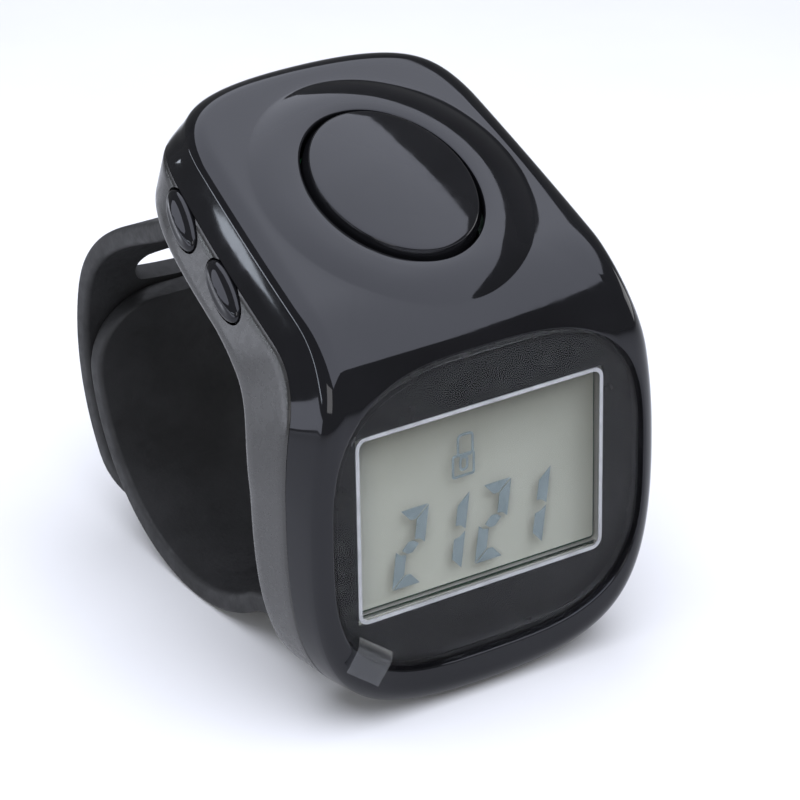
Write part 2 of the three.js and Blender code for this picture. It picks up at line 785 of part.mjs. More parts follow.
function doorProfile(low, high, grow) {
  const shape = new THREE.Shape();
  const start = Math.PI / 2 + doorEnd + grow / saddleRadius;
  const end = Math.PI / 2;
  shape.absarc(saddleCentre.x, saddleCentre.y, saddleRadius + low, start, end, true);
  shape.lineTo(doorRear + grow, -topThickness + low);
  shape.lineTo(doorRear + grow, -topThickness + high);
  shape.absarc(saddleCentre.x, saddleCentre.y, saddleRadius + high, end, start, false);
  return shape;
}

// The seat and the hole for the door's screw
function doorScrewSeat() {
  return [
    placed(post(screwHeadRadius + slideFit / 2, -cutOver, doorScrewSunk + doorScrewHead, 20), doorScrewFrame),
    placed(post(screwRadius + slideFit / 2, 0, doorPlate + cutOver, 16), doorScrewFrame),
  ];
}

function lowerCase() {
  const outer = solid(skin([
    layerLoop(0, lowerRim),
    saddleLoop(0, saddleEdge),
    saddleLoop(saddleEdge * 0.35, saddleEdge * 0.3),
    saddleLoop(saddleEdge, 0),
  ]));
  const cavity = solid(skin([
    layerLoop(wall, lowerRim - cutOver),
    layerLoop(wall, lowerRim),
    saddleLoop(wall, floorWall + 0.3),
    saddleLoop(wall + 0.3, floorWall),
  ]));
  const room = solid(skin([
    layerLoop(wall / 2, lowerRim),
    saddleLoop(wall / 2, floorWall / 2),
  ]));
  const ribs = (frame, spots, radius, low, high) => spots.map(([x, y]) => (
    placed(post(radius, low, high, 10).translate(x, y, 0), frame).intersect(room)));
  const posts = bosses.map((boss) => bossTool(
    boss, bossRadius, -boss.thickness + floorWall / 2, -bossSplitDepth - seatGap,
  ).intersect(room));
  const anchors = anchorBlocks.map(({ anchor, turn, thickness, depth }) => placed(
    block(neckWidth + 2 * wall, 2 * (anchorRadius + anchorWall), depth - thickness + floorWall / 2, anchorGrip),
    new THREE.Matrix4().makeRotationX(turn).setPosition(0, anchor.x, anchor.y),
  ).intersect(room));
  const doorBoss = placed(post(bossRadius, floorWall / 2, doorScrewLength + 1), doorScrewFrame);
  const pad = solid(acrossX(
    doorProfile(floorWall / 2, floorWall + doorPad, wall), doorWidth + 2 * wall,
  )).intersect(room);
  const well = placed(plate(
    ellipseShape(2 * (wellRadius + wall), 2 * (wellRadius + wall), 24), floorWall, wellHeight,
  ), cellFrame);
  const doorSeat = solid(acrossX(doorProfile(-cutOver, doorPlate + seatGap, slideFit / 2), doorWidth + slideFit));
  const cellHole = placed(post(wellRadius, -cutOver, wellHeight + cutOver, 24), cellFrame);
  const contactGap = placed(
    block(2 * wall, contactWidth + slideFit, floorWall + doorPad, wellHeight + cutOver)
      .translate(wellRadius + wall / 2, 0, 0),
    cellFrame,
  );
  const doorScrewHole = placed(post(screwRadius + seatGap, 0, doorScrewLength + 0.9, 16), doorScrewFrame);
  const sideHoles = sideFrames.map((frame) => placed(
    tilted(plate(stadium(sideButtonLength + slideFit, sideButtonHeight + slideFit), -2 * wall, cutOver, 5)),
    frame,
  ));
  const caseHoles = bosses.flatMap((boss) => [
    bossTool(boss, screwHole, -boss.thickness - cutOver, -bossSplitDepth + cutOver),
    bossTool(
      boss,
      screwHeadRadius + slideFit / 2,
      -boss.thickness - cutOver,
      -boss.thickness + screwRecess + screwHeadHeight,
    ),
  ]);
  const body = addAll(outer.subtract(cavity), [
    ...posts,
    ...anchors,
    ...ribs(topFrame, switchBoardPosts, boardPostRadius, -topThickness + floorWall / 2, switchBoardLow - seatGap),
    ...ribs(faceFrame, displayBoardPosts, boardPostRadius, -2 * faceThickness, displayBoardLow - seatGap),
    doorBoss,
    pad,
    well,
  ]);
  const anchorCuts = anchorBlocks.flatMap(anchorTools);
  return cutAll(body, [...caseHoles, ...anchorCuts, doorSeat, cellHole, contactGap, doorScrewHole, ...sideHoles]);
}

// Count button: a low crown, a drafted skirt, a flange under the collar and a plunger
function countButton() {
  const edge = padHeight + buttonProud;
  const radius = buttonWidth / 2;
  const crown = [];
  for (let i = 0; i <= 4; i += 1) {
    const share = i / 4;
    const reach = (radius - buttonDraft - buttonRim) * share;
    crown.push(new THREE.Vector2(reach, edge + buttonCrown * (1 - share * share)));
  }
  crown.push(new THREE.Vector2(radius - buttonDraft, edge - buttonRim));
  const flangeRadius = radius + slideFit + buttonFlange;
  const profile = [
    new THREE.Vector2(0, -buttonSkirt),
    new THREE.Vector2(radius - wall, -buttonSkirt),
    new THREE.Vector2(radius - wall, flangeLow),
    new THREE.Vector2(flangeRadius, flangeLow),
    new THREE.Vector2(flangeRadius, flangeTop),
    new THREE.Vector2(radius, flangeTop),
    new THREE.Vector2(radius, 0),
    ...crown.slice().reverse(),
  ];
  const cap = solid(new THREE.LatheGeometry(profile, 36).rotateX(Math.PI / 2)
    .scale(1, buttonLength / buttonWidth, 1));
  const plungerLow = switchBoardTop + domeHeight + buttonTravel + 2 * seatGap;
  return cap.add(solid(post(plungerRadius, plungerLow, -buttonSkirt + seatGap, 20)));
}

// The tact switch behind a side button, under the edge of the switch board
function sideSwitch(lean) {
  const high = sideButtonDepth + switchBoardLow - seatGap;
  const pressed = lipTop - sideButtonLip - sideButtonTravel;
  const front = pressed / Math.cos(lean) - high * Math.tan(lean) - seatGap;
  return new THREE.BoxGeometry(sideSwitchHeight, sideSwitchLength, sideSwitchDepth)
    .translate(high - sideSwitchHeight / 2, 0, front - sideSwitchDepth / 2);
}

// A side button: an oval pad with a ridge along it, and a lip inside the wall
function sideButton() {
  const pad = solid(plate(stadium(sideButtonLength, sideButtonHeight), lipTop - seatGap, sideButtonProud, 5));
  const ridge = solid(new THREE.CylinderGeometry(sideButtonRidge, sideButtonRidge, sideButtonLength * 0.7, 10)
    .translate(0, 0, sideButtonProud));
  const lipShape = stadium(sideButtonLength + 2 * lipWidth, sideButtonHeight);
  const lip = solid(plate(lipShape, lipTop - sideButtonLip, lipTop, 5));
  return addAll(pad, [ridge, lip]);
}

function lcdHolder() {
  const outer = roundedShape(holderWidth, holderHeight, displayBoardCorner);
  const inner = roundedShape(glassWidth + 2 * holderGap, frontGlassHeight + 2 * holderGap, 0.3);
  return plate(ringShape(outer, inner), displayBoardTop + seatGap, lcdTop, 3);
}

// The film on the window, with a peel tab that lifts over the case's edge
function protectiveFilm() {
  const low = lensTop + seatGap;
  const sheet = solid(plate(lensShape(filmInset), low, low + filmThickness));
  const tab = solid(plate(roundedShape(filmTabWidth, filmTabLength, 0.3), 0, filmThickness)
    .translate(0, -filmTabLength / 2, 0)
    .rotateX(-filmTabLift).rotateZ(-filmTabTurn)
    .translate(filmTabRoot[0], filmTabRoot[1], low + 0.01));
  return sheet.add(tab);
}

function chip() {
  const profile = [new THREE.Vector2(0, -chipHeight)];
  for (let i = 1; i <= 4; i += 1) {
    const turn = Math.PI / 2 * i / 4;
    profile.push(new THREE.Vector2(chipRadius * Math.sin(turn), -chipHeight * Math.cos(turn)));
  }
  profile.push(new THREE.Vector2(0, 0));
  return new THREE.LatheGeometry(profile, 20).rotateX(Math.PI / 2);
}

function snapDome() {
  const profile = [
    [0, 0], [domeRadius, 0], [domeRadius * 0.82, domeHeight * 0.6], [domeRadius * 0.4, domeHeight], [0, domeHeight],
  ].map(point2);
  return new THREE.LatheGeometry(profile, 24).rotateX(Math.PI / 2);
}

// A pan head with a cross recess, its underside at zero and its shank upwards
function screw(length, headHeight) {
  const head = solid(post(screwHeadRadius, -headHeight, 0, 16));
  const shank = solid(post(screwRadius, -headHeight / 2, length, 10));
  const cross = [0, Math.PI / 2].map((turn) => solid(
    block(1.3 * screwHeadRadius, 0.3 * screwHeadRadius, -headHeight - cutOver, -headHeight / 2).rotateZ(turn),
  ));
  return toGeometry(cutAll(head.add(shank), cross));
}

// A button cell: its can below, and its smaller cap on top
function buttonCell() {
  const canHeight = cellHeight * 0.8;
  const profile = [
    [0, 0], [cellRadius - 0.2, 0], [cellRadius, 0.2], [cellRadius, canHeight],
    [cellRadius - cellRim, canHeight], [cellRadius - 2 * cellRim, cellHeight], [0, cellHeight],
  ].map(point2);
  return new THREE.LatheGeometry(profile, 24).rotateX(Math.PI / 2);
}

// A leaf spring from the switch board down to the cap of the cell
function contactMinus() {
  const high = switchBoardLow - seatGap - contactThickness / 2;
  const low = -topThickness + cellLift + cellHeight + seatGap + contactThickness / 2;
  const y = topLength - cellFromRear;
  const curve = new THREE.CurvePath();
  curve.add(new THREE.LineCurve(point2([y + 3.4, high]), point2([y + 2.2, high])));
  curve.add(new THREE.CubicBezierCurve(...[[y + 2.2, high], [y + 1.2, high], [y + 0.9, low], [y, low]].map(point2)));
  curve.add(new THREE.LineCurve(point2([y, low]), point2([y - 0.9, low])));
  return acrossX(stripShape(curve, contactThickness, 14), contactWidth);
}

// A leaf that stands against the side of the cell and turns out under the board
function contactPlus() {
  const high = switchBoardLow - seatGap - contactThickness / 2 + topThickness;
  const x = cellRadius + seatGap + contactThickness / 2;
  const low = floorWall + doorPad + seatGap;
  const curve = new THREE.CurvePath();
  curve.add(new THREE.LineCurve(point2([x + 1.6, high]), point2([x + 0.4, high])));
  curve.add(new THREE.QuadraticBezierCurve(...[[x + 0.4, high], [x, high], [x, high - 0.4]].map(point2)));
  curve.add(new THREE.LineCurve(point2([x, high - 0.4]), point2([x, low])));
  return new THREE.ExtrudeGeometry(stripShape(curve, contactThickness, 12), {
    depth: contactWidth,
    bevelEnabled: false,
  }).translate(0, 0, -contactWidth / 2).rotateX(Math.PI / 2);
}

// A flat cable from under the switch board to the back of the display board
function boardFlex() {
  const high = switchBoardLow - seatGap - flexThickness / 2;
  const start = topLength - buttonFromRear + switchBoardShift - switchBoardLength / 2 + 0.9;
  const down = new THREE.Vector3(0, -1, 0).transformDirection(faceFrame);
  const end = new THREE.Vector3(
    0,
    frontGlassShift + holderHeight / 2 - 0.8,
    displayBoardLow - seatGap - flexThickness / 2,
  ).applyMatrix4(faceFrame);
  const lead = 3;
  const curve = new THREE.CurvePath();
  curve.add(new THREE.LineCurve(point2([start, high]), point2([start - 1, high])));
  curve.add(new THREE.CubicBezierCurve(...[
    [start - 1, high], [start - 1 - lead, high],
    [end.y - lead * down.y, end.z - lead * down.z], [end.y, end.z],
  ].map(point2)));
  curve.add(new THREE.LineCurve(point2([end.y, end.z]), point2([end.y + down.y, end.z + down.z])));
  return acrossX(stripShape(curve, flexThickness, 14), flexWidth);
}

// Assembly
const stand = new THREE.Group();
const top = new THREE.Group();
top.applyMatrix4(topFrame);
const face = new THREE.Group();
face.applyMatrix4(faceFrame);
const cellSeat = new THREE.Group();
cellSeat.applyMatrix4(cellFrame);
stand.add(top, face, cellSeat);

function add(group, name, geometry, finish, position = [0, 0, 0]) {
  const mesh = new THREE.Mesh(geometry, new THREE.MeshStandardMaterial(finish));
  mesh.name = name;
  mesh.position.set(...position);
  group.add(mesh);
  return mesh;
}

const lowerCaseMesh = add(stand, 'lower_case', toGeometry(lowerCase()), satinBlack);
add(stand, 'upper_case', toGeometry(upperCase()), glossBlack);
add(top, 'count_button', toGeometry(countButton()), glossBlack);

['rear', 'front'].forEach((end, i) => {
  const geometry = tilted(toGeometry(sideButton()));
  add(stand, `side_button_${end}`, geometry, glossBlack).applyMatrix4(sideFrames[i]);
  add(stand, `side_switch_${end}`, sideSwitch(sideLean[i]), steel).applyMatrix4(switchFrames[i]);
});

// Display
add(face, 'display_lens', plate(lensShape(0), lensLow, lensTop), clearPlastic);
add(face, 'lens_print', plate(
  ringShape(lensShape(0.05), roundedShape(borderWidth + 0.06, borderHeight + 0.06, borderCorner)),
  printTop - printThickness, printTop,
), glossBlack);
add(face, 'window_border', plate(
  ringShape(roundedShape(borderWidth, borderHeight, borderCorner),
    roundedShape(borderWidth - 2 * borderLine, borderHeight - 2 * borderLine, borderCorner - borderLine + 0.05)),
  printTop - printThickness, printTop,
), silverInk);
add(face, 'lens_tape', plate(
  ringShape(lensShape(0.1), roundedShape(borderWidth + 1.2, borderHeight + 1.2, borderCorner)),
  tapeTop - tapeThickness, tapeTop,
), satinBlack);
add(face, 'protective_film', toGeometry(protectiveFilm()), clearPlastic);

const polariser = (width, height) => roundedShape(width - 2 * polariserInset, height - 2 * polariserInset, 0.2);
add(face, 'lcd_front_polariser', plate(
  polariser(glassWidth, rearGlassHeight), lcdTop - polariserThickness, lcdTop,
), lcdGrey);
add(face, 'lcd_front_glass', plate(
  roundedShape(glassWidth, frontGlassHeight, 0.15), frontGlassTop - glassThickness, frontGlassTop,
), clearPlastic, [0, frontGlassShift, 0]);
add(face, 'lcd_rear_glass', plate(
  roundedShape(glassWidth, rearGlassHeight, 0.15), rearGlassTop - glassThickness, rearGlassTop,
), clearPlastic);
add(face, 'lcd_reflector', plate(
  polariser(glassWidth, rearGlassHeight), reflectorTop - polariserThickness, reflectorTop,
), lcdGrey);
add(face, 'zebra_strip', block(
  glassWidth - 2, zebraWidth, displayBoardTop + seatGap, frontGlassTop - glassThickness - seatGap,
), rubberBlack, [0, (rearGlassHeight + contactLedge) / 2, 0]);
add(face, 'lcd_holder', lcdHolder(), whitePlastic, [0, frontGlassShift, 0]);
add(face, 'display_board', plate(
  roundedShape(holderWidth, holderHeight, displayBoardCorner), displayBoardLow, displayBoardTop,
), boardGreen, [0, frontGlassShift, 0]);
add(face, 'counter_chip', chip(), rubberBlack, [1.5, -1, displayBoardLow - seatGap]);
add(face, 'clock_crystal', new THREE.CylinderGeometry(crystalRadius, crystalRadius, crystalLength, 12)
  .rotateZ(Math.PI / 2), steel, [-4, -2.6, displayBoardLow - crystalRadius - seatGap]);
add(face, 'chip_capacitor', new THREE.BoxGeometry(...capacitorSize), brass,
  [-4, 0.6, displayBoardLow - capacitorSize[2] / 2 - seatGap]);

// Switches under the top
add(top, 'switch_board', plate(
  roundedShape(switchBoardWidth, switchBoardLength, 0.6), switchBoardLow, switchBoardTop,
), boardGreen, [0, switchBoardShift, 0]);
add(top, 'count_dome', snapDome(), steel, [0, 0, switchBoardTop + seatGap / 2]);
add(stand, 'board_flex', boardFlex(), amberFilm);

// Cell, contacts and door
add(cellSeat, 'button_cell', buttonCell(), steel, [0, 0, cellLift]);
add(stand, 'contact_minus', contactMinus(), brass);
add(cellSeat, 'contact_plus', contactPlus(), brass);
add(stand, 'battery_cover', toGeometry(cutAll(
  solid(acrossX(doorProfile(0, doorPlate, 0), doorWidth)),
  doorScrewSeat(),
)), satinBlack);
add(stand, 'battery_cover_screw', screw(doorScrewLength, doorScrewHead)
  .translate(0, 0, doorScrewSunk + doorScrewHead - seatGap), steel).applyMatrix4(doorScrewFrame);

// Case screws, driven from the finger's side
['rear_left', 'chin_left', 'rear_right', 'chin_right'].forEach((place, i) => {
  const boss = bosses[i];
  const group = boss.frame === topFrame ? top : face;
  const seat = -boss.thickness + screwRecess + screwHeadHeight - seatGap;
  add(group, `case_screw_${place}`, screw(caseScrewLength, screwHeadHeight), steel, [boss.x, boss.y, seat]);
});

const upperStrapMesh = add(stand, 'upper_strap', toGeometry(upperStrap()), rubberBlack);
const lowerStrapMesh = add(stand, 'lower_strap', toGeometry(lowerStrap()), rubberBlack);

// It rests on its chin and its strap: the pitch that lets both touch the floor
function restPitch() {
  const profile = (mesh) => {
    const p = mesh.geometry.attributes.position;
    return Array.from({ length: p.count }, (_, i) => new THREE.Vector2(p.getY(i), p.getZ(i)));
  };
  const chin = profile(lowerCaseMesh);
  const straps = [...profile(upperStrapMesh), ...profile(lowerStrapMesh)];
  const lowest = (points, pitch) => Math.min(...points.map((p) => p.x * Math.sin(pitch) + p.y * Math.cos(pitch)));
  let small = 0;
  let large = Math.PI / 3;
  for (let i = 0; i < 40; i += 1) {
    const pitch = (small + large) / 2;
    if (lowest(chin, pitch) < lowest(straps, pitch)) large = pitch;
    else small = pitch;
  }
  return small;
}

stand.rotation.x = restPitch();
const counter = new THREE.Group();
counter.add(stand);
counter.updateMatrixWorld(true);
const box = new THREE.Box3().setFromObject(counter, true);
stand.position.set(0, -(box.min.y + box.max.y) / 2, -box.min.z);

export default counter;
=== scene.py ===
# %% [markdown]
# # A finger counter, dressed for its picture
# The CAD model gives every part its place and its size. Blender gives the parts that are seen a finer
# surface and a finish. First the model is loaded as a fixed frame.

# %% Load the fixed frame
import math

import bmesh
import bpy
import numpy as np
from mathutils import Matrix, Vector


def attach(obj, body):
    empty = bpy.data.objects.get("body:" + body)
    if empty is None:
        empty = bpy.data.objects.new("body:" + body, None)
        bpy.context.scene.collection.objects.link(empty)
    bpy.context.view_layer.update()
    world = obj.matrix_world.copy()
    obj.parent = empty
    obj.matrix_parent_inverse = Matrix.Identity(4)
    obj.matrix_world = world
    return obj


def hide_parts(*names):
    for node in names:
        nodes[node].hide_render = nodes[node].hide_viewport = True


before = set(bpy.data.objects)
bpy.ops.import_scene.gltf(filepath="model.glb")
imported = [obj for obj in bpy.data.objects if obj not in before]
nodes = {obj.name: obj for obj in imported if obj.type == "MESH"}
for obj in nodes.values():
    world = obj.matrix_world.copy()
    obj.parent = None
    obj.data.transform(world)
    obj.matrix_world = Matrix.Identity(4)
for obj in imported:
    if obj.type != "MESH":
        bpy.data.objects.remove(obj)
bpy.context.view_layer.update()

print("parts in the frame:", len(nodes))

# %% [markdown]
# ## The counter's own coordinates
# The case is a slab that bends round the finger. It is easiest to draw unrolled, as on paper: x is
# across, s runs over the outer surface from the rear edge to the chin, and n is the depth below that
# surface. One function bends a point of the paper round the finger, and a second one stands the
# counter on its chin, as it lies on a table. Lengths are millimetres until the very last step.

# %% Measures of the case
BODY_WIDTH = 28.0
LOWER_REAR_WIDTH = 24.2
UPPER_REAR_WIDTH = 21.4
UPPER_WAIST_WIDTH = 22.9
UPPER_FACE_WIDTH = 26.1
REAR_CORNER = 6.5
WAIST_RUN = 21.0
WIDEST_RUN = 33.5
END_DRAFT = 0.5
TOP_LENGTH = 24.5
FACE_LENGTH = 25.3
BEND = math.radians(65)
BEND_RADIUS = 8.0
TOP_THICK = 6.0
FACE_THICK = 6.2
SADDLE_RADIUS = 9.0
PARTING = 2.65
WALL = 1.1
EDGE_RADIUS = 1.4
EDGE_TURN = math.radians(65)
EDGE_RUN = EDGE_RADIUS * math.sin(EDGE_TURN)
EDGE_DROP = EDGE_RADIUS * (1 - math.cos(EDGE_TURN))
TOP_INSET = 0.34
WALL_CROWN = 0.12
CORNER_SWELL = 0.38
CORNER_PLACE = 10.0
CORNER_REACH = 2.6
STAND_PITCH = 0.4097812593
STAND_PLACE = (0.0, -16.72993, 25.33781)
STAND = (
    Matrix.Scale(0.001, 4)
    @ Matrix.Translation(STAND_PLACE)
    @ Matrix.Rotation(STAND_PITCH, 4, "X")
)

bend_tangent = BEND_RADIUS * math.tan(BEND / 2)
bend_start = TOP_LENGTH - bend_tangent
bend_end = bend_start + BEND_RADIUS * BEND
full_run = bend_end + FACE_LENGTH - bend_tangent
print("run over the case, mm:", round(full_run, 2))


# %% Bend the paper round the finger
def outer_point(x, s, n):
    """A point of the unrolled case, bent round the finger."""
    if s <= bend_start:
        return (x, TOP_LENGTH - s, -n)
    if s < bend_end:
        turn = (s - bend_start) / BEND_RADIUS
        reach = BEND_RADIUS - n
        return (x, bend_tangent - reach * math.sin(turn), reach * math.cos(turn) - BEND_RADIUS)
    down = s - bend_end + bend_tangent
    return (
        x,
        n * math.sin(BEND) - down * math.cos(BEND),
        -down * math.sin(BEND) - n * math.cos(BEND),
    )


saddle_run = (TOP_THICK - FACE_THICK * math.cos(BEND)) / math.sin(BEND)
saddle_y = FACE_THICK * math.sin(BEND) - saddle_run * math.cos(BEND)
saddle_tangent = SADDLE_RADIUS * math.tan(BEND / 2)
saddle_start = TOP_LENGTH - saddle_y - saddle_tangent
saddle_end = bend_end - bend_tangent + saddle_run + saddle_tangent
SADDLE_CENTRE = (saddle_y + saddle_tangent, -TOP_THICK - SADDLE_RADIUS)


def saddle_point(x, s, lift):
    """A point over the finger side of the case."""
    if s <= saddle_start:
        return (x, TOP_LENGTH - s, lift - TOP_THICK)
    if s < saddle_end:
        turn = BEND * (s - saddle_start) / (saddle_end - saddle_start)
        reach = SADDLE_RADIUS + lift
        return (
            x,
            SADDLE_CENTRE[0] - reach * math.sin(turn),
            SADDLE_CENTRE[1] + reach * math.cos(turn),
        )
    return outer_point(x, s, FACE_THICK - lift)


# %% [markdown]
# ## The outline of the case
# Seen square on, the case widens from its rear edge to the face. Four Bézier curves draw one half. The
# side walls flare: there is a narrow outline for the top and a wider one at the finger saddle, and each
# level in between is a blend of the two. They are walked at even steps, so that the mesh lines stay even,
# and each step keeps its direction across the edge, which is where the edge is rounded over.

# %% Walk the outline


def outline_curves(rear, waist, widest, swell, draft, round_rear=0.0):
    """Half of an outline as four Bézier curves, from the rear to the chin. All widths are half widths."""
    end = full_run - draft
    corner = (rear - 0.5 - 0.6 * round_rear, 1.9 + draft + 0.2 * round_rear)
    swing = (rear + 0.3 + 0.45 * round_rear, REAR_CORNER + 4 - 1.2 * round_rear)
    before_widest = (swell, WIDEST_RUN - 5.5)
    return (
        ((0, draft), (0.79 * rear, draft), corner, (rear, REAR_CORNER)),
        ((rear, REAR_CORNER), swing, (waist - 0.15, WAIST_RUN - 5.5), (waist, WAIST_RUN)),
        ((waist, WAIST_RUN), (waist + 0.15, WAIST_RUN + 4.5), before_widest, (widest, WIDEST_RUN)),
        ((widest, WIDEST_RUN), (2 * widest - swell + 0.2, end - 3), (0.82 * widest, end), (0, end)),
    )


def bezier(points, t):
    a, b, c, d = (np.array(p, float) for p in points)
    t = np.asarray(t)[:, None]
    return a * (1 - t) ** 3 + 3 * b * t * (1 - t) ** 2 + 3 * c * t * t * (1 - t) + d * t**3


def walk(curves):
    """Fine points of an outline, and for each the direction across it."""
    points = np.concatenate([bezier(p, np.linspace(0, 1, 400, endpoint=False)) for p in curves])
    points = np.concatenate([points, [curves[-1][-1]]])
    ahead = np.gradient(points, axis=0)
    across = np.stack([-ahead[:, 1], ahead[:, 0]], 1)
    return points, across / np.linalg.norm(across, axis=1)[:, None]


half_face, half_body = UPPER_FACE_WIDTH / 2, BODY_WIDTH / 2
upper_curves = outline_curves(UPPER_REAR_WIDTH / 2, UPPER_WAIST_WIDTH / 2, half_face, half_face - 0.2, 0)
lower_curves = outline_curves(
    LOWER_REAR_WIDTH / 2 - 0.1, half_body - 0.9, half_body - 0.1, half_body + 0.3, END_DRAFT, 1.0
)
fine, inward = walk(upper_curves)
fine = fine + inward * TOP_INSET
low_fine, low_inward = walk(lower_curves)
walked = np.concatenate([[0], np.cumsum(np.linalg.norm(np.diff(fine, axis=0), axis=1))])
print("half of the outline, mm:", round(walked[-1], 2))

LOWER_RIM = PARTING + 0.07
SADDLE_EDGE = 0.7
FLARE_ROOM = TOP_THICK - SADDLE_EDGE - EDGE_DROP


def flare_share(depth):
    """How far the side wall has flared at a depth, from 0 under the rounded edge to 1."""
    return min(1.0, max(0.0, (depth - EDGE_DROP) / FLARE_ROOM))


def wall_swell(distance, share):
    """How much the wall swells out: a little everywhere, and more under the rear corners."""
    corner = math.exp(-(((distance - CORNER_PLACE) / CORNER_REACH) ** 2))
    wave = math.sin(math.pi * share)
    return WALL_CROWN * wave + CORNER_SWELL * corner * wave**2


def on_edge(distance, inset, share=0.0):
    """A point at that distance along the half outline, set in from it."""
    if 0 < share < 1:
        inset = inset - wall_swell(float(distance), share)
    points = fine * (1 - share) + low_fine * share
    across = inward * (1 - share) + low_inward * share
    x, s = (
        np.interp(distance, walked, points[:, k]) + inset * np.interp(distance, walked, across[:, k])
        for k in (0, 1)
    )
    return np.stack([np.maximum(x, 0), s], -1)


def round_drop(inset):
    """Drop of the rounded edge at a distance in from where the wall begins."""
    into = min(EDGE_RUN, max(0.0, EDGE_RUN - inset))
    return EDGE_RADIUS - math.sqrt(EDGE_RADIUS**2 - into**2)


def edge_depth(x, s):
    """How far the rounded edge has dropped at a point of the paper."""
    return round_drop(np.sqrt(((fine - (abs(x), s)) ** 2).sum(1).min()))


# %% [markdown]
# ## From a grid to a piece
# Most moulded pieces here are one grid of squares, wrapped round a hole or along a strap. The grid
# comes from Blender's own operator and each of its points is then put in its place. Where the grid
# meets itself, the doubled points are merged, so the skin ends up closed.


# %% Helpers for meshes
def wrapped(place_rows, open_rows=(0, 0), open_columns=(0, 0)):
    """A grid with one vertex for each point of place_rows, and a field of it left open."""
    rows = np.asarray(place_rows, float)
    across = rows.shape[1] - 1
    mesh = bmesh.new()
    bmesh.ops.create_grid(mesh, x_segments=across, y_segments=rows.shape[0] - 1, size=1)
    for vertex, point in zip(mesh.verts, rows.reshape(-1, 3)):
        vertex.co = point
    field = [
        face
        for i, face in enumerate(mesh.faces)
        if open_rows[0] <= i // across < open_rows[1]
        and open_columns[0] <= i % across < open_columns[1]
    ]
    bmesh.ops.delete(mesh, geom=field, context="FACES")
    return mesh


def closed(mesh, gap=1e-4):
    """Merges doubled points and turns all faces outwards."""
    bmesh.ops.remove_doubles(mesh, verts=mesh.verts, dist=gap)
    bmesh.ops.dissolve_degenerate(mesh, edges=mesh.edges, dist=gap)
    bmesh.ops.recalc_face_normals(mesh, faces=mesh.faces)
    return mesh


def linked(name, data):
    """A new object of the scene."""
    made = bpy.data.objects.new(name, data)
    bpy.context.scene.collection.objects.link(made)
    return made


def as_object(name, mesh):
    """A new object that takes over a mesh."""
    data = bpy.data.meshes.new(name)
    mesh.to_mesh(data)
    mesh.free()
    return linked(name, data)


def piece(name, mesh, body, matrix=STAND, sharp=35):
    """Puts a mesh in its place, smooths it and lets it ride on a body."""
    bmesh.ops.transform(mesh, matrix=matrix, verts=mesh.verts)
    for face in mesh.faces:
        face.smooth = True
    for edge in mesh.edges:
        edge.smooth = not (len(edge.link_faces) == 2 and edge.calc_face_angle(0) > math.radians(sharp))
    made = as_object(name, mesh)
    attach(made, body)
    print(name, "faces:", len(made.data.polygons))
    return made


def blended(a, b, count):
    """count points from a to b, with both ends."""
    share = np.linspace(0, 1, count)[:, None]
    return np.asarray(a) * (1 - share) + np.asarray(b) * share


def arc(start, end, count):
    """Sine and cosine pairs from start to end, in degrees."""
    turns = np.radians(np.linspace(start, end, count))
    return np.stack([np.sin(turns), np.cos(turns)], 1)


def oval_point(turn, half_x, half_y, power=2.0):
    """A point of an oval, drawn out towards a rectangle by a power above 2; turn 0 is to the right."""
    u, v = math.cos(turn), math.sin(turn)
    reach = (abs(u / half_x) ** power + abs(v / half_y) ** power) ** (-1 / power)
    return u * reach, v * reach


def oval_corners(half_x, half_y, segments=40, power=2.0):
    turns = np.linspace(0, 2 * math.pi, segments, endpoint=False)
    return [oval_point(turn, half_x, half_y, power) for turn in turns]


# %% [markdown]
# ## The glossy upper case
# It is one moulding: a level top with a raised oval pad round the count button, the bend, and a face
# with a shallow pocket for the display window. Two wrapped grids make it, one round the button hole
# and one round the window, and they share the line across the bend where they meet. Each column of
# the grid starts at the hole, runs out over the surface and the rounded edge, turns in at the parting
# line and comes back inside, so the shell has its real wall. In the photo the edge is tighter and the
# parting line lies lower than the solids have them. The grids follow the photo.

# %% Where the columns of the two grids end
SPLIT_RUN = 23.6
split_walked = float(np.interp(SPLIT_RUN, fine[:, 1], walked))
SIDE_COLUMNS = 84
SPLIT_COLUMNS = 44


def columns_round(first):
    """For each column: distance on the half outline, side, and its share of the line across."""
    rising = [(d, 1, None) for d in np.linspace(first, split_walked, SIDE_COLUMNS)]
    across = [(split_walked, 0, t) for t in np.linspace(1, -1, SPLIT_COLUMNS)[1:-1]]
    falling = [(d, -1, None) for d in np.linspace(split_walked, first, SIDE_COLUMNS)]
    return rising + across + falling


def first_inset(column, inset):
    """Where a column's rings over the rounded edge begin; both grids agree on the shared column."""
    shared = column[2] is None and abs(column[0] - split_walked) < 1e-9
    return EDGE_RUN if shared else min(EDGE_RUN, 0.85 * inset)


def column_end(column, inset, depth=0.0):
    """A point of the paper at the outer end of a column, where the wall is that deep."""
    distance, side, share = column
    x, s = on_edge(distance, EDGE_RUN if share is not None else inset, flare_share(depth))
    return np.array([x * (side if share is None else share), s])


